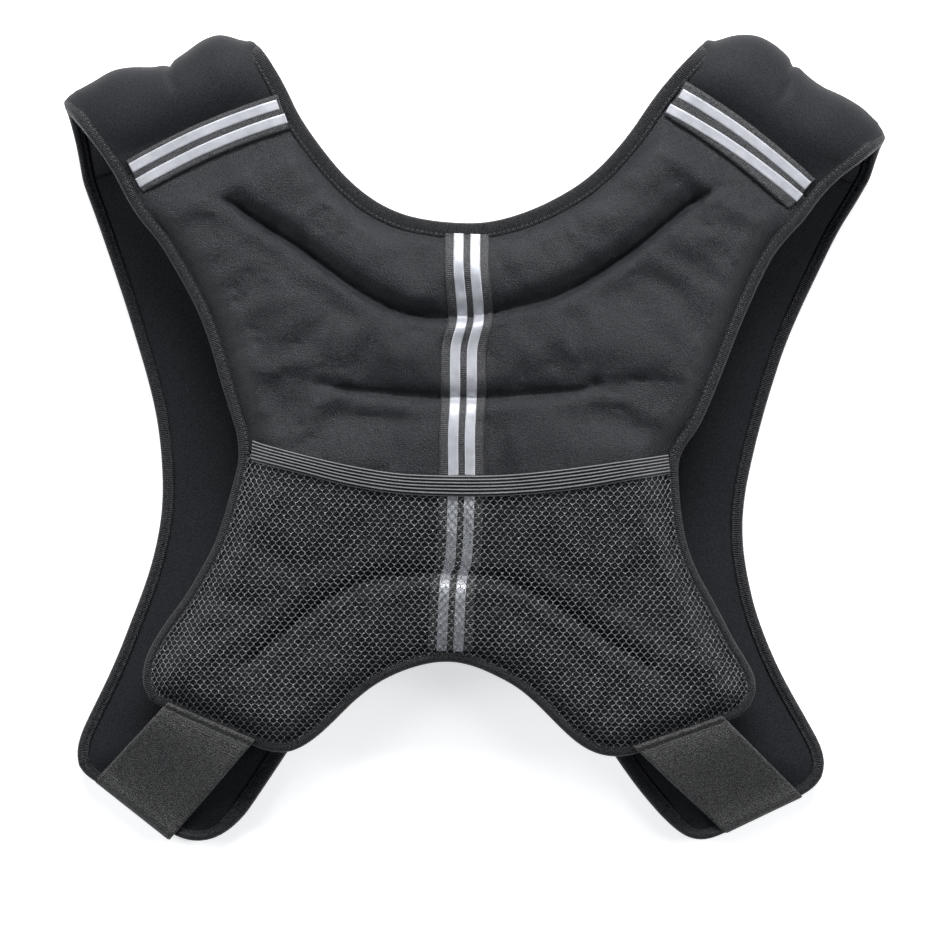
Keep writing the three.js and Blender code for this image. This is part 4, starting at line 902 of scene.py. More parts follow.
front_hem_left = spline([(-106.7, -199.3), (-114.2, -207.4), (-122.5, -212.9), (-131.0, -214.9),
                         (-139.4, -214.0), (-147.0, -210.4), (-168.0, -196.6), (-188.3, -184.4),
                         (-194.2, -181.0), (-196.2, -177.0)])
print("front arm edges in millimetres:",
      round(float(length_of(front_arm_right))), round(float(length_of(front_arm_left))))

# %% Build the front panels
front_up = 7.0
front_down = 7
front_reach = 34.0


def front_panel(name, inner, outer, hem, towards):
    """A padded front panel between its inner edge, its arm edge and its hem."""
    rows, columns = 150, 64
    inner_in = inset(inner, towards, rim_line)
    outer_in = inset(outer, towards, rim_line)
    hem_in = inset(hem, towards, rim_line)
    inner_in[-1] = hem_in[0] = (inner_in[-1] + hem_in[0]) / 2
    outer_in[-1] = hem_in[-1] = (outer_in[-1] + hem_in[-1]) / 2
    seam = np.array([inner_in[0], outer_in[0]])
    grid = blend_grid(even(inner_in, rows), even(outer_in, rows),
                      even(seam, columns), even(hem_in, columns))
    flat = grid.reshape(-1, 2)
    taped = ((inner, neck_width), (outer, arm_width), (hem, front_hem_width))
    gaps = [gap_to(line, flat)[0] - width for line, width in taped]
    rim = np.min(gaps, axis=0)
    fill = pillow(rim / front_reach, 1.8)
    seam_fill = 0.35 + 0.65 * pillow(gap_to(seam, flat)[0] / 23)
    waves = np.array([noise.noise(Vector((x / 30, y / 55, 8.1))) for x, y in flat])
    top = front_height + rim_half + (front_up - rim_half) * fill * seam_fill
    top = top + 0.7 * waves * ease(rim / 14)
    bottom = np.maximum(0.02, front_height - rim_half - front_down * fill * seam_fill)
    shape = grid.shape[:2]
    points, faces = closed_slab(np.dstack([grid, top.reshape(shape)]),
                                np.dstack([grid, bottom.reshape(shape)]))
    if name.endswith("left"):
        faces = faces[:, ::-1]
    piece = new_piece(f"lining_{name}", points, faces, lining)
    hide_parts(name)


front_panel("front_wing_right", front_in_right, front_arm_right, front_hem_right, (100, 0))
front_panel("front_wing_left", front_in_left, front_arm_left, front_hem_left, (-100, 0))

# %% [markdown]
# ## The shoulder pads
# A smooth pad turns over each shoulder and joins the layers. It is swept: a path runs from the back's
# seam, round the fold, to the front's seam, once for each place across the pad. The fold's silhouette
# has two swells with a crease between them, so the path's far end follows that outline.

# %% Outlines of the folds
fold_right = spline([(117.6, 214.8), (119.8, 217.6), (124.6, 216.8), (129.8, 218.3), (136, 219.4),
                     (145.3, 218.6), (154.7, 214.8), (164.2, 207.8), (173.9, 199.4), (181.8, 193.9),
                     (191.1, 189.6), (202.3, 183.6), (208.0, 179.2), (212.6, 175.6),
                     (215.4, 169.8)], 1.0, 1.2)
fold_left = spline([(-115.6, 204.4), (-118.2, 207.6), (-124.1, 206.9), (-127.5, 207.6),
                    (-135.2, 208.4), (-144.5, 205.0), (-151.9, 199.7), (-159.4, 194.4),
                    (-167, 191.2), (-179.5, 190.4), (-190, 187.9), (-200.6, 181.8), (-207.6, 178.2),
                    (-212.6, 176.0), (-216.0, 171.4)], 1.0, 1.2)
print("fold outlines in millimetres:",
      round(float(length_of(fold_right))), round(float(length_of(fold_left))))

# %% Sweep the shoulder pads
pad_out = 8.0
pad_in = 6.0
pad_width = 92
crease_at = 0.50
crease_depth = 2.2


def bend(a, b, c, t):
    """A point on the curve from a to c that is drawn towards b."""
    return a * (1 - t) ** 2 + b * 2 * t * (1 - t) + c * t * t


def pad_path(guide, fold, end, out, u):
    """Middle of the pad for one place across it: points and the directions out of the pad."""
    start, lean, turn, sweep, lower = guide
    side = pillow((min(u, 1 - u) * pad_width - 7) / 22)
    thick = rim_half + 1.5 + (pad_out - rim_half - 1.5) * side
    apex = fold - out * thick
    path, normals = [], []
    for t in np.linspace(0, 1, 16)[:-1]:
        p = bend(start, lean, turn, t)
        path.append((*p, float(back_middle(p))))
        normals.append((0, 0, 1))
    high = float(back_middle(turn))
    radius = (high - front_height) / 2
    for angle in np.linspace(0, math.pi, 30):
        reach = math.sin(angle)
        if angle < math.pi / 2:
            p = bend(turn, sweep, apex, reach)
        else:
            p = lower + (apex - lower) * reach
        path.append((*p, front_height + radius * (1 + math.cos(angle))))
        normals.append((*(out * reach), math.cos(angle)))
    for t in np.linspace(0, 1, 10)[1:]:
        p = lower * (1 - t) + end * t
        path.append((*p, front_height))
        normals.append((0, 0, -1))
    return np.array(path), np.array(normals, float)


def shoulder_pad(name, guides, front_neck, front_arm, fold_line):
    """guides: the edge's start, bend, turn, bend into the fold and return below, at neck and arm."""
    across = 64
    shares = np.linspace(0, 1, across)
    fold_points = even(fold_line, across)
    fold_across = fold_points[-1] - fold_points[0]
    fold_across /= np.linalg.norm(fold_across)
    out = np.array([-fold_across[1], fold_across[0]])
    out = out if out[1] > 0 else -out
    at_neck, at_arm = (np.array(guide, float) for guide in guides)
    paths, ways = [], []
    for k, u in enumerate(shares):
        guide = at_neck * (1 - u) + at_arm * u
        end = front_neck[0] * (1 - u) + front_arm[0] * u
        path, normal = pad_path(guide, fold_points[k], end, out, u)
        paths.append(path)
        ways.append(normal)
    paths = np.array(paths).transpose(1, 0, 2)
    ways = np.array(ways).transpose(1, 0, 2)
    width = np.linalg.norm(paths[:, -1, :2] - paths[:, 0, :2], axis=1)[:, None]
    inward = paths[:, -1] - paths[:, 0]
    inward[:, 2] = 0
    inward /= np.linalg.norm(inward, axis=1)[:, None]
    run = np.linalg.norm(paths - paths[:1], axis=2)
    to_end = np.linalg.norm(paths - paths[-1:], axis=2)
    side = np.minimum(shares, 1 - shares)[None] * width
    rim = pillow((side - 7.0) / 24)
    seam_back = 0.25 + 0.75 * pillow((run - tape_half) / 20)
    seam_front = 0.35 + 0.65 * pillow(to_end / 23)
    fill = rim * np.minimum(seam_back, seam_front)
    waves = np.array([[noise.noise(Vector((*(p / 26),))) for p in row] for row in paths])
    step = np.arange(len(paths))[:, None]
    crease_line = crease_at - 0.004 * np.clip(step - 18, 0, 12)
    crease = np.exp(-((shares[None] - crease_line) * pad_width / 2.0) ** 2)
    crease = crease * ease((step - 17) / 5) * ease((34 - step) / 4)
    outside = rim_half + (pad_out - rim_half) * fill + 0.8 * waves * rim * np.minimum(1, run / 25)
    outside = outside - crease_depth * crease
    inside = rim_half + (pad_in - rim_half) * fill
    place = paths.copy()
    place[:, 0] += inward * rim_line
    place[:, -1] -= inward * rim_line
    top = place + ways * outside[..., None]
    bottom = place - ways * inside[..., None]
    points, faces = closed_slab(top, bottom)
    if name.endswith("left"):
        faces = faces[:, ::-1]
    piece = new_piece(f"padded_{name}", points, faces, pad_cloth)
    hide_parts(name)
    return paths, ways, inward


guides_right = [
    [(95.3, 187.4), (99.2, 192.6), (104.0, 198.5), (112.5, 208.0), (115.1, 196.8)],
    [(177.8, 130.9), (185.3, 142.3), (196.5, 150.8), (205.4, 157.6), (209.2, 148.4)],
]
guides_left = [
    [(-93.6, 170.6), (-98.0, 179.8), (-103.4, 188.2), (-112.0, 201.5), (-114.5, 186.5)],
    [(-184.0, 129.3), (-188.6, 137.2), (-196.0, 146.4), (-205.2, 157.4), (-209.0, 146.2)],
]
pad_right = shoulder_pad("shoulder_pad_right", guides_right, front_in_right, front_arm_right, fold_right)
pad_left = shoulder_pad("shoulder_pad_left", guides_left, front_in_left, front_arm_left, fold_left)

# %% [markdown]
# ## Edge tape
# A ribbed tape is folded over every edge and stitched through. On the real vest it runs round all the
# edges, over both shoulders. We carry one rounded U section along the edge, square to it at each step.

# %% Stations along the edges
tape_reach = 7.6


def flat_stations(line, towards, height, normal):
    """Edge point, direction inward and direction out of the layer, along a flat edge."""
    inward = sideways(line, towards)
    edge = line[:, :2] + inward * rim_line
    inner = edge + inward * tape_reach
    edge_z, inner_z = height(edge), height(inner)
    slope = np.column_stack([inner, inner_z]) - np.column_stack([edge, edge_z])
    ways = np.tile(np.array([0, 0, float(normal)]), (len(line), 1))
    return np.column_stack([edge, edge_z]), slope / tape_reach, ways


def turned_stations(pad, first):
    """The same along a shoulder pad's edge, from its front seam round to its back seam."""
    paths, ways, inward = pad
    column = 0 if first else -1
    sign = 1 if first else -1
    edge = paths[:, column] + sign * inward * rim_line
    return edge[::-1], (sign * inward)[::-1], ways[:, column][::-1]


def front_level(places):
    """Height of the middle of the front panels, which lie level."""
    return np.full(len(places), front_height)


def backwards(stations):
    """The same stations in the other order."""
    return tuple(part[::-1] for part in stations)


def joined(*runs):
    """Joins runs of stations into one and rounds off the joints."""
    edge, inward, way = (np.concatenate([run[k] for run in runs]) for k in range(3))
    step = np.linalg.norm(np.diff(edge, axis=0), axis=1)
    keep = np.concatenate([[True], step > 0.25])
    both = np.column_stack([edge[keep], inward[keep], way[keep]])
    run = run_of(both[:, :3])
    places = np.linspace(0, run[-1], max(4, int(run[-1] / 1.5)))
    both = np.column_stack([np.interp(places, run, both[:, k]) for k in range(9)])
    both = softened(both, 1.6)
    edge, inward, way = both[:, :3], both[:, 3:6], both[:, 6:]
    inward = inward / np.linalg.norm(inward, axis=1)[:, None]
    way = way / np.linalg.norm(way, axis=1)[:, None]
    return edge, inward, way


def back_side(line, towards):
    """Stations along an edge of the back."""
    return flat_stations(line, towards, back_middle, 1)


def front_edges(inner, hem, outer, towards):
    """One line round a front panel, softened at its corners, then cut again into its three parts."""
    whole = np.concatenate([inner, hem[1:], outer[::-1][1:]])
    whole = softened(even(whole, int(length_of(whole) / 1.5)), 2.0)
    first, second = nearest(whole, hem[0]), nearest(whole, hem[-1])
    stations = flat_stations(whole, towards, front_level, -1)
    parts = ((0, first + 1), (first, second + 1), (second, len(whole)))
    return [tuple(part[a:b] for part in stations) for a, b in parts]


in_right, low_right, out_right = front_edges(
    front_in_right, front_hem_right, front_arm_right, (100, 0))
in_left, low_left, out_left = front_edges(
    front_in_left, front_hem_left, front_arm_left, (-100, 0))
neck_edge = joined(backwards(in_right), turned_stations(pad_right, True),
                   back_side(neck_right, (60, 60)), backwards(back_side(neck_left, (-60, 60))),
                   backwards(turned_stations(pad_left, True)), in_left)
arm_edges = {
    "right": joined(out_right, turned_stations(pad_right, False),
                    back_side(arm_right, (60, -20))),
    "left": joined(out_left, turned_stations(pad_left, False),
                   back_side(arm_left, (-60, -20))),
}
hem_edge = joined(back_side(hem_right[::-1], (60, -60)), back_side(arch_right[::-1], (70, -60)),
                  back_side(arch_left, (-70, -60)), back_side(hem_left, (-60, -60)))
front_hems = {
    "right": joined(low_right),
    "left": joined(low_left),
}
print("stations along the neck edge:", len(neck_edge[0]), "and the hem:", len(hem_edge[0]))

# %% Fold the tape over the edges
def tape_section(width):
    """Half of the folded tape: inward and outward, from its stitched edge round to the fold."""
    stitch = width - rim_line - 1.5
    return [(width - rim_line, 2.75), (width - rim_line - 0.5, 3.0), (stitch, 2.72),
            (stitch - 1.0, 3.25), (stitch * 0.5, 3.5), (0.6, 3.5), (-0.7, 3.2), (-1.35, 2.4),
            (-1.6, 1.2), (-1.65, 0.0)]


def folded_tape(name, stations, width, node, flip=False, ends=None):
    """ends: the tape's width where it meets its neighbours, if that differs from its own."""
    edge, inward, way = stations
    run = run_of(edge)
    widths = np.full(len(run), float(width))
    if ends is not None:
        widths += ((ends[0] - width) * (1 - ease(run / 22))
                   + (ends[1] - width) * (1 - ease((run[-1] - run) / 22)))
    outer = tape_section(widths)
    outer = outer + [(a, -b) for a, b in outer[-2::-1]]
    inner = [(widths - rim_line, -2.15), (0.0, -2.15), (0.0, 2.15), (widths - rim_line, 2.15)]
    wobble = np.array([noise.noise(Vector((s / 7, 1.1, 5.2))) for s in run])
    puff = (1 + 0.07 * wobble)[:, None] if ends is None else np.ones((len(run), 1))
    rings = [edge + inward * np.reshape(a, (-1, 1)) + way * b * puff for a, b in outer]
    rings += [edge + inward * np.reshape(a, (-1, 1)) + way * b for a, b in inner]
    points = np.stack(rings, axis=1)
    rows, columns = points.shape[:2]
    faces = grid_faces(rows, columns, ring=True)
    pattern = cloth_pattern(run, np.arange(columns, dtype=float))
    faces = faces.tolist()
    last = (rows - 1) * columns
    faces.append(list(range(columns)))
    faces.append([last + k for k in range(columns)][::-1])
    if flip:
        faces = [f[::-1] for f in faces]
    piece = new_mixed_piece(name, points.reshape(-1, 3), faces, edge_tape, pattern)
    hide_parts(node)


folded_tape("neck_edge_tape", neck_edge, neck_width, "neck_binding")
folded_tape("arm_edge_tape_right", arm_edges["right"], arm_width, "arm_binding_right")
folded_tape("arm_edge_tape_left", arm_edges["left"], arm_width, "arm_binding_left", True)
folded_tape("hem_edge_tape", hem_edge, arm_width, "hem_binding", True)
for hand, flip in (("right", False), ("left", True)):
    folded_tape(f"front_hem_tape_{hand}", front_hems[hand], front_hem_width,
                f"wing_hem_binding_{hand}", flip, (neck_width, arm_width))

# %% [markdown]
# ## Stitches
# The tape is sewn down with one row of thread a little inside its edge. Each visible stitch is a small
# rounded bead that sinks into the tape. All of them together are one light mesh.

# %% Stitches along the edge tape
stitch_pitch = 2.5
stitch_length = 1.5
stitch_radius = 0.2


def stitch_beads(stations, width, lift=2.86):
    """A short rounded bead for each stitch, as rings of five points."""
    edge, inward, way = stations
    line = edge + inward * (width - rim_line - 1.5) + way * lift
    run = run_of(line)
    centres = np.arange(stitch_pitch, run[-1] - stitch_pitch, stitch_pitch)
    points, faces = [], []
    spots = [(-0.5, 0.35), (-0.36, 1.0), (0.36, 1.0), (0.5, 0.35)]
    for middle in centres:
        start = len(points)
        for share, size in spots:
            place = middle + share * stitch_length
            p = np.array([np.interp(place, run, line[:, k]) for k in range(3)])
            up = np.array([np.interp(place, run, way[:, k]) for k in range(3)])
            side = np.array([np.interp(place, run, inward[:, k]) for k in range(3)])
            for corner in range(5):
                angle = 2 * math.pi * corner / 5
                points.append(p + stitch_radius * size * (side * math.cos(angle) + up * math.sin(angle)))
        for ring in range(3):
            for corner in range(5):
                a, b = ring * 5 + corner, ring * 5 + (corner + 1) % 5
                faces.append((start + a, start + b, start + b + 5, start + a + 5))
        faces.append(tuple(start + c for c in (4, 3, 2, 1, 0)))
        faces.append(tuple(start + 15 + c for c in range(5)))
    return points, faces


sewn_rows = [
    (neck_edge, neck_width),
    (arm_edges["right"], arm_width),
    (arm_edges["left"], arm_width),
    (hem_edge, arm_width),
    (front_hems["right"], front_hem_width),
    (front_hems["left"], front_hem_width),
]
stitch_points, stitch_faces = [], []
for stations, width in sewn_rows:
    points, faces = stitch_beads(stations, width)
    stitch_faces += [tuple(v + len(stitch_points) for v in face) for face in faces]
    stitch_points += points
new_mixed_piece("edge_stitches", stitch_points, stitch_faces, sewing,
                np.zeros((len(stitch_points), 2)))

# %% [markdown]
# ## Tapes and silver stripes
# Webbing covers the shoulder seams and runs down the middle of the back. Each tape is a thin slab laid
# on the cloth: it follows the swells, dips where a seam draws it down, and ends under the edge tape.

# %% Thin slabs on the cloth
def resting_height(places):
    """Height of the quilted back's outside at any place."""
    return back_heights(places)[0]


def laid_strip(axis, side, half, offset, columns, height, thickness):
    """A strip with rounded edges round a flat axis line. height gives its underside at places."""
    across = np.linspace(-half, half, columns) + offset
    flat = axis[:, None, :2] + side[:, None] * across[None, :, None]
    low = height(flat)
    edge = np.minimum(1, (half - np.abs(across - offset)) / (0.5 * thickness))
    round_edge = np.sqrt(np.clip(1 - (1 - edge) ** 2, 0, 1))
    top = low + thickness * (0.45 + 0.55 * round_edge)[None]
    pattern = cloth_pattern(run_of(axis[:, :2]), across)
    points, faces = closed_slab(np.dstack([flat, top]), np.dstack([flat, low]))
    return points, faces, np.concatenate([pattern] * 2)


def smooth_over(heights, along, across):
    """Evens a grid of heights out along and across a strip, by so many rows and columns."""
    result = softened(heights, along)
    return softened(result.T, across).T


print("height of the back at its middle:", resting_height(np.array([[[0.0, 40.0]]])).round(1).ravel())

# %% Centre tape and its stripes
tape_thickness = 1.2
centre_half = 11.7
stripe_half = 2.65
stripe_offset = 4.3
stripe_thickness = 0.45
centre_axis = spline([(-1.9, 108.6), (-1.2, 90), (1.4, 68.5), (1.5, 63.0), (-1.1, 50), (-1.2, 44),
                      (-0.5, 23.9), (-0.6, 4.3), (0.2, -15.2), (0.4, -29.2), (0.0, -62.8),
                      (-1.6, -68.5), (-2.4, -108.0)], 0.8, 0.8)
centre_side = np.tile([1.0, 0.0], (len(centre_axis), 1))


def centre_underside(flat):
    """The tape lies on the smoothed quilting and presses into it a little."""
    return smooth_over(resting_height(flat), 1.2, 1.0) - 0.15


def on_centre_tape(flat):
    """The stripes lie on the tape, which evens out the quilting under them."""
    middle = np.repeat(centre_axis[:, None, :2], 9, 1)
    middle = middle + np.linspace(-9, 9, 9)[None, :, None] * np.array([1.0, 0.0])
    bed = smooth_over(resting_height(middle), 1.2, 1.0).mean(1)
    local = smooth_over(resting_height(flat), 1.2, 0.5)
    return np.maximum(0.35 * bed[:, None] + 0.65 * local, local - 0.1) + tape_thickness - 0.05


points, faces, pattern = laid_strip(centre_axis, centre_side, centre_half, 0.0, 27,
                                    centre_underside, tape_thickness)
piece = new_piece("centre_webbing", points, faces, webbing, pattern)
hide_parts("centre_tape")
for title, offset in (("left", -stripe_offset), ("right", stripe_offset)):
    points, faces, pattern = laid_strip(centre_axis, centre_side, stripe_half, offset, 11,
                                        on_centre_tape, stripe_thickness)
    piece = new_piece(f"silver_centre_{title}", points, faces, silver, pattern)
    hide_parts(f"centre_stripe_{title}")

# %% Shoulder tapes and their stripes
def shoulder_height(axis, lift):
    """The tape rises from beside the edge tape at both ends and lies level in between."""
    def height(flat):
        along = gap_to(axis, flat.reshape(-1, 2))[1]
        run = along.reshape(flat.shape[:2]) / length_of(axis)
        rise = ease(np.minimum(run, 1 - run) / 0.1)
        waves = np.array([[noise.noise(Vector((x / 15, y / 15, 4.4))) for x, y in row]
                          for row in flat])
        return back_middle(flat) + 2.7 + 1.5 * rise + 0.3 * waves + lift
    return height


def shoulder_tape(hand, corners, stripes):
    """A tape from the neck to the arm edge, bowed upwards, with its stripes. corners: the low and
    the high one at the neck, then the two at the arm."""
    corners = np.array(corners, float)
    start = (corners[0] + corners[1]) / 2
    end = (corners[2] + corners[3]) / 2
    half = (np.linalg.norm(corners[1] - corners[0]) + np.linalg.norm(corners[3] - corners[2])) / 4
    bow = np.sin(np.linspace(0, math.pi, 90))[:, None] * np.array([0.0, 2.6])
    axis = even(np.array([start, end]), 90) + bow
    side = sideways(axis, axis[45] + (0, 50))
    points, faces, pattern = laid_strip(axis, side, half - 0.8, 0.0, 25,
                                        shoulder_height(axis, 0.0), tape_thickness)
    piece = new_piece(f"shoulder_webbing_{hand}", points, faces, webbing, pattern)
    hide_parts(f"shoulder_tape_{hand}")
    on_tape = shoulder_height(axis, tape_thickness - 0.05)
    for title, ends in stripes.items():
        line = even(np.array(ends, float), 90) + bow
        side = sideways(line, line[45] + (0, 50))
        points, faces, pattern = laid_strip(line, side, stripe_half, 0.0, 11, on_tape, stripe_thickness)
        piece = new_piece(f"silver_{title}_{hand}", points, faces, silver, pattern)
        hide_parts(f"shoulder_stripe_{title}_{hand}")


shoulder_tape("right", [(96.4, 172.7), (109.5, 192.9), (165.5, 126.4), (175.4, 145.3)],
              {"upper": ((105.6, 185.5), (173.4, 140.1)), "lower": ((99.4, 177.6), (169.5, 133.7))})
shoulder_tape("left", [(-93.6, 159.0), (-105.0, 176.8), (-170.1, 122.4), (-179.8, 140.3)],
              {"upper": ((-102.2, 171.5), (-177.0, 135.5)), "lower": ((-97.7, 164.6), (-173.2, 127.9))})

# %% [markdown]
# ## The net pocket
# A stretched net bridges the hollows of the quilting. We find its height the way a stretched skin
# finds it: every point takes the mean height of its neighbours, but never sinks into the cloth.

# %% Borders of the pocket
band_top = spline([(-108.6, -2.0), (-107.3, -2.6), (-83.4, -8.2), (-57.1, -13.2), (-32.3, -16.2),
                   (-6.3, -16.2), (20.2, -15.0), (41.9, -12.4), (65, -8.6), (85.2, -5),
                   (103.5, -1.6), (106.5, -1.0)], 1.0, 3.0)
band_low = spline([(-109.0, -13.4), (-106.8, -13.8), (-83, -18.8), (-56.6, -24.4), (-31.8, -27.2),
                   (-5.8, -27.5), (20.4, -26.3), (42.3, -23.9), (65.4, -20.2), (85.6, -15.8),
                   (103.9, -12.2), (108, -11.4)], 1.0, 3.0)
band_middle = (band_top + even(band_low, len(band_top))) / 2
arm_left_below = arm_left[nearest(arm_left, (-116, -12)):]
arm_right_below = arm_right[nearest(arm_right, (113, -12)):]
pocket_edge = np.concatenate([arm_left_below, hem_left[::-1][1:], arch_left[::-1][1:],
                              arch_right[1:], hem_right[1:], arm_right_below[::-1][1:]])
net_border = np.concatenate([pocket_edge, even(band_middle, 80)[::-1]])


def inside_of(polygon, places):
    """Which places lie inside a closed outline. A line to the right of one crosses it an odd number
    of times."""
    x, y = places[:, 0], places[:, 1]
    inside = np.zeros(len(places), bool)
    for (ax, ay), (bx, by) in zip(polygon, np.roll(polygon, -1, axis=0)):
        crosses = (ay > y) != (by > y)
        with np.errstate(divide="ignore", invalid="ignore"):
            inside ^= crosses & (x < (bx - ax) * (y - ay) / (by - ay) + ax)
    return inside


# The cloth behind the net has no nap and hardly shines, so its faces get a finish of their own
centres = np.empty(len(back_panel.data.polygons) * 3)
back_panel.data.polygons.foreach_get("center", centres)
centres = centres.reshape(-1, 3) / MM - pattern_shift
behind = inside_of(net_border, centres[:, :2]) & (centres[:, 2] > back_middle(centres[:, :2]))
back_panel.data.polygons.foreach_set("material_index", behind.astype(np.int32))
back_panel.data.update()
print("faces behind the net:", int(behind.sum()))

# %% Stretch the net over the quilting
skin_step = 2.0
skin_x = np.arange(-168, 168 + skin_step, skin_step)
skin_y = np.arange(-170, 6 + skin_step, skin_step)
skin_places = np.stack(np.meshgrid(skin_x, skin_y), -1)
cloth_height = resting_height(skin_places)
flat_places = skin_places.reshape(-1, 2)
rim_gap = gap_to(pocket_edge, flat_places)[0].reshape(cloth_height.shape)
pocket_outline = np.concatenate([pocket_edge, even(band_top, 60)[::-1]])
in_pocket = inside_of(pocket_outline, flat_places).reshape(cloth_height.shape) & (rim_gap > 4.5)
rim_height = back_middle(skin_places) + 2.3
over_tape = ease((centre_half + 1.5 - np.abs(skin_places[..., 0] + 0.5)) / 2.5)
tape_cover = over_tape * (tape_thickness + stripe_thickness)
obstacle = np.where(in_pocket, cloth_height + 0.45 + tape_cover, rim_height)
skin = obstacle.copy()
for _ in range(260):
    mean = (np.roll(skin, 1, 0) + np.roll(skin, -1, 0) + np.roll(skin, 1, 1) + np.roll(skin, -1, 1)) / 4
    skin = np.where(in_pocket, np.maximum(obstacle, mean), rim_height)
stretch_share = 0.8
skin = np.where(in_pocket, obstacle + stretch_share * (skin - obstacle), rim_height)
print("the net stands off the cloth by up to", round(float((skin - obstacle).max()), 1), "mm")


def net_height(places):
    """Height of the stretched net at any place, read off the skin's grid."""
    return read_grid(skin, skin_x[0], skin_y[0], skin_step, np.asarray(places)[..., :2])

# %% [markdown]
# The net is a lattice of six-sided holes in staggered rows. Each cell is built once as a ring round its
# hole, thin at the hole and thick in the middle of the thread, so that the threads look round.

# %% Knit the net
cell_width = 3.85
cell_row = 2.3
thread_half = 0.28
thread_rise = 0.22
squeeze_from = 30.0
squeeze_by = 8.0


def net_spot(places):
    """Draws the even lattice together near the arm edges, where the sewn net is pulled narrow."""
    x, y = places[..., 0], places[..., 1]
    right = np.interp(-y, -arm_right[:, 1], arm_right[:, 0])
    left = np.interp(-y, -arm_left[:, 1], -arm_left[:, 0])
    border = np.where(x > 0, right, left)
    past = np.clip(np.abs(x) - (border - squeeze_from), 0, None)
    drawn = squeeze_by * np.minimum(past / (squeeze_from + squeeze_by), 1.5) ** 2
    return np.stack([np.sign(x) * (np.abs(x) - drawn), y + 0.10 * past * ((y + 75) / 60)], -1)


def six_corners(reach_x, reach_y, knot):
    """Corners of a cell: knot is half the length of the short upright thread at its two sides."""
    return np.array([(0, reach_y), (reach_x, knot), (reach_x, -knot), (0, -reach_y), (-reach_x, -knot),
                     (-reach_x, knot)])


knot_half = 0.17 * cell_row
cell_corners = six_corners(cell_width / 2, cell_row - knot_half, knot_half)
hole_corners = six_corners(cell_width / 2 - thread_half,
                           cell_row - knot_half - thread_half * 1.25, knot_half + 0.1)
lattice = []
for row in range(-76, 4):
    shift = cell_width / 2 if row % 2 else 0.0
    for column in range(-47, 48):
        lattice.append((column * cell_width + shift, row * cell_row))
lattice = np.array(lattice)
spots = net_spot(lattice)
keep = inside_of(net_border, spots) & (gap_to(pocket_edge, spots)[0] > 2.6)
lattice = lattice[keep]
corner_places = net_spot(lattice[:, None] + cell_corners[None])
hole_places = net_spot(lattice[:, None] + hole_corners[None])
corner_z = net_height(corner_places)
hole_z = net_height(hole_places)
rings = [np.concatenate([corner_places, (corner_z + thread_rise)[..., None]], -1),
         np.concatenate([hole_places, hole_z[..., None]], -1),
         np.concatenate([corner_places, (corner_z - thread_rise)[..., None]], -1)]
net_points = np.stack(rings, 1).reshape(-1, 3)
starts = (np.arange(len(lattice)) * 18)[:, None]
net_faces = []
for k in range(6):
    m = (k + 1) % 6
    net_faces.append(starts + np.array([[k, m, 6 + m, 6 + k]]))
    net_faces.append(starts + np.array([[6 + k, 6 + m, 12 + m, 12 + k]]))
net_faces = np.concatenate(net_faces)
rounded = np.round(net_points, 2)
_, first, ids = np.unique(rounded, axis=0, return_index=True, return_inverse=True)
net_points, net_faces = net_points[first], ids.ravel()[net_faces]
pocket = new_piece("stretched_net", net_points, net_faces, thread)
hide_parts("mesh_pocket")
# The net was cut to whole cells of the even lattice, before it was drawn to the pocket's outline
flat_cut = (np.ptp(lattice, axis=0) + (cell_width, 2 * cell_row)) * MM
print("net cells:", len(lattice))

# %% [markdown]
# The pocket's top edge is a ribbed elastic band. Seen close, elastic is a row of narrow ridges, each a
# covered rubber thread, so its top is a wave across the band.

# %% Ribbed band
band_thickness = 1.7
band_width = 11.5
ribs_end = 8.8
rib_height = 0.34
band_rows = 230
band_columns = 61
top_line = even(band_top, band_rows)
low_line = even(band_low, band_rows)
share = np.linspace(0, 1, band_columns)
band_flat = top_line[:, None] * (1 - share)[None, :, None] + low_line[:, None] * share[None, :, None]
band_bed = np.maximum(net_height(band_flat), resting_height(band_flat) + 0.1)
band_bed = smooth_over(band_bed, 4.0, 6.0) + 0.25
from_top = share * band_width
rib_wave = np.cos(2 * math.pi * (from_top - first_rib) / rib_pitch)
ribs = rib_height * np.where(from_top < ribs_end, rib_wave, -0.7)
edge = ease(np.minimum(from_top, band_width - from_top) / 0.9)
band_up = band_bed + (band_thickness * (0.4 + 0.6 * edge) + ribs * edge)[None]
pattern = cloth_pattern(run_of(top_line), from_top)
points, faces = closed_slab(np.dstack([band_flat, band_up]), np.dstack([band_flat, band_bed - 0.1]))
band = new_piece("ribbed_band", points, faces, band_elastic_painted_light, np.concatenate([pattern] * 2))
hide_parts("pocket_band")

# %% [markdown]
# ## Side straps
# A wide knitted elastic runs from each lobe of the back down to the front panel below it and wraps
# round that panel's lower edge. Its top end is folded into a small hem.

# %% Side straps
strap_thickness = 1.6
strap_width = 46
wrap_radius = 5.4
wrap_back = 24.0


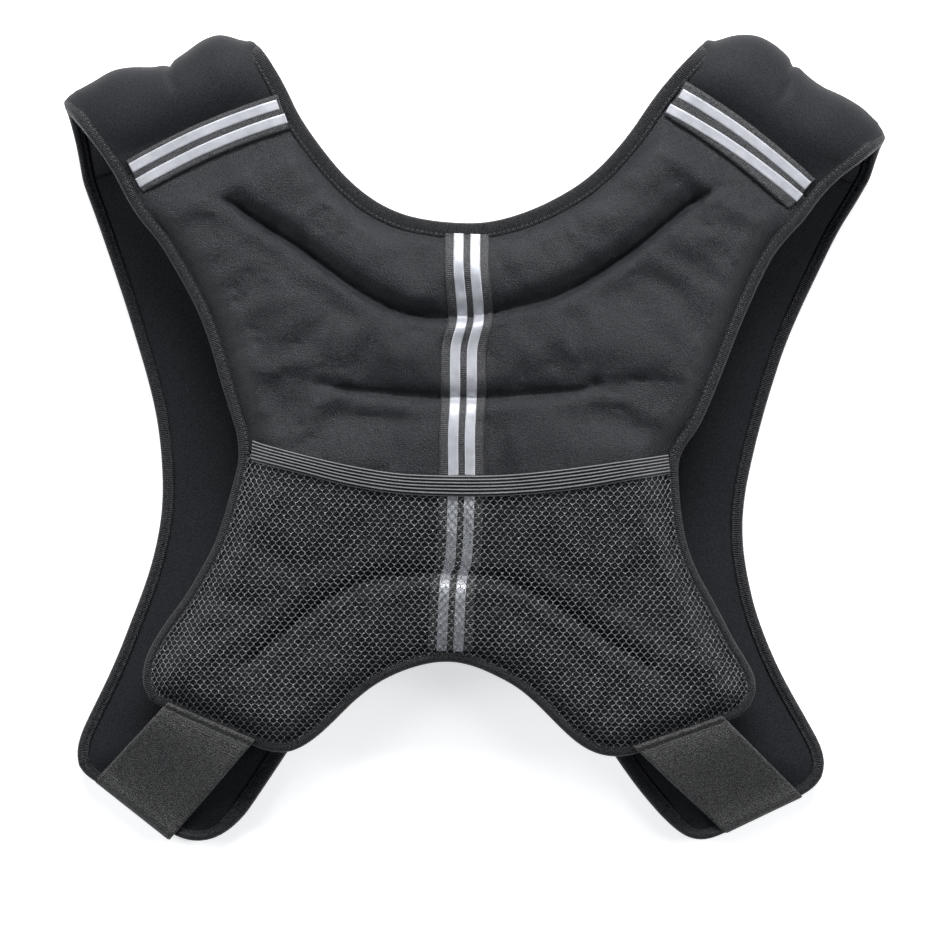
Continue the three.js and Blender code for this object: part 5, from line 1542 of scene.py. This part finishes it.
def side_strap(hand, top_in, top_out, foot_in, foot_out):
    """A wide strap swept along one profile: down from the lobe, round the hem and back below."""
    top = np.array([top_in, top_out], float)
    foot = np.array([foot_in, foot_out], float)
    columns = 41
    across = np.linspace(0, 1, columns)
    start = top[0] + (top[1] - top[0]) * across[:, None]
    end = foot[0] + (foot[1] - foot[0]) * across[:, None]
    way = (end - start).mean(0)
    length = float(np.linalg.norm(way))
    way = way / length
    high = float(back_middle((top[0] + top[1]) / 2)) + 3.9
    low = front_height + 4.3
    profile = []
    for s in np.linspace(0, 1, 64):
        place = s * (length - wrap_radius)
        lie = ease((place - 3) / 10) * 0.6
        fall = ease((place - 9) / (length - wrap_radius - 9) * 0.94 + 0.03)
        profile.append((place, high - lie - (high - 0.6 - low) * fall))
    centre_z = low - wrap_radius
    for angle in np.linspace(0, math.pi, 18)[1:]:
        profile.append((length - wrap_radius + wrap_radius * math.sin(angle),
                        centre_z + wrap_radius * math.cos(angle)))
    for back in np.linspace(0, wrap_back, 12)[1:]:
        profile.append((length - wrap_radius - back, centre_z - wrap_radius))
    line = np.array(profile)
    step = np.gradient(line, axis=0)
    step /= np.linalg.norm(step, axis=1)[:, None]
    normal = np.column_stack([-step[:, 1], step[:, 0]])
    run = run_of(line)
    hem = np.exp(-((run - 1.3) / 1.1) ** 4) * 1.1
    seam_mark = -0.45 * np.exp(-((run - 3.4) / 0.7) ** 2)
    edge = ease(np.minimum(across, 1 - across) * strap_width)
    layers = []
    for side in (1, -1):
        thick = strap_thickness / 2 * (0.35 + 0.65 * edge)[None, :]
        thick = thick + ((hem + seam_mark)[:, None] if side > 0 else 0)
        s = line[:, 0][:, None] + normal[:, 0][:, None] * thick * side
        z = line[:, 1][:, None] + normal[:, 1][:, None] * thick * side
        waves = np.array([[noise.noise(Vector((u * 2.1, r / 24, 2.2))) for u in across] for r in run])
        z = z + 0.5 * waves * ease(run / 12)[:, None]
        share = s / length
        flat = start[None] * (1 - share[..., None]) + end[None] * share[..., None]
        layers.append(np.dstack([flat, np.maximum(z, 0.05)]))
    points, faces = closed_slab(*layers)
    if hand == "left":
        faces = faces[:, ::-1]
    pattern = cloth_pattern(run, across * strap_width)
    piece = new_piece(f"knit_side_strap_{hand}", points, faces, elastic,
                      np.concatenate([pattern] * 2))
    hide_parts(f"side_strap_{hand}")


side_strap("right", (94.9, -154), (140.6, -136), (146.2, -199.5), (186.3, -178.5))
side_strap("left", (-101.6, -158.1), (-147.9, -140.3), (-146.2, -214.5), (-187, -185))

# %% [markdown]
# ## The closure underneath
# Two short straps join the front panels, each through one clasp. They can't be seen from above, so
# they are kept plain, with a rounded plate and a raised bar as any such clasp has.

# %% Chest straps and clasps
strap_low = 2.3
strap_high = 4.1
clasp_low = 4.4
clasp_high = 10.9
# Places of the two straps along the vest
closures = (("upper", 0.30 * shoulder_rise), ("lower", -0.24 * 209.5))


def rounded_rectangle(half_x, half_y, radius, steps=5):
    """Points round a rectangle with rounded corners."""
    corners = [(half_x - radius, half_y - radius, 0), (-half_x + radius, half_y - radius, 1),
               (-half_x + radius, -half_y + radius, 2), (half_x - radius, -half_y + radius, 3)]
    loop = []
    for cx, cy, quarter in corners:
        for k in range(steps + 1):
            angle = (quarter + k / steps) * math.pi / 2
            loop.append((cx + radius * math.cos(angle), cy + radius * math.sin(angle)))
    return np.array(loop)


def stacked_plate(name, centre_y, levels, finish, node):
    """A solid from rounded rectangles stacked at rising heights: (half x, half y, radius, z)."""
    rings = []
    for half_x, half_y, radius, z in levels:
        loop = rounded_rectangle(half_x, half_y, radius)
        rings.append(np.column_stack([loop[:, 0], loop[:, 1] + centre_y, np.full(len(loop), z)]))
    points = np.concatenate(rings)
    n = len(rings[0])
    faces = grid_faces(len(rings), n, ring=True, flip=True).tolist()
    faces.append(list(range(n))[::-1])
    faces.append([(len(rings) - 1) * n + k for k in range(n)])
    piece = new_mixed_piece(name, points, faces, finish, points[:, :2])
    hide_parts(node)


for title, centre_y in closures:
    reach = float(np.interp(centre_y, front_in_right[::-1, 1], front_in_right[::-1, 0])) + 5
    stacked_plate(f"chest_webbing_{title}", centre_y,
                  [(reach, 12.2, 0.5, strap_low), (reach, 12.5, 0.5, strap_low + 0.4),
                   (reach, 12.5, 0.5, strap_high - 0.4), (reach, 12.2, 0.5, strap_high)],
                  webbing, f"chest_strap_{title}")
    stacked_plate(f"chest_buckle_{title}", centre_y,
                  [(20.5, 15.0, 5, clasp_low), (21.8, 16.3, 6, clasp_low + 1.2),
                   (22.0, 16.5, 6, clasp_low + 3.0), (21.0, 15.5, 5.6, clasp_low + 4.4),
                   (18.0, 11.0, 5, clasp_high - 1.5), (17.0, 10.0, 5, clasp_high - 0.4),
                   (15.5, 8.6, 4.5, clasp_high)],
                  plastic, f"chest_clasp_{title}")
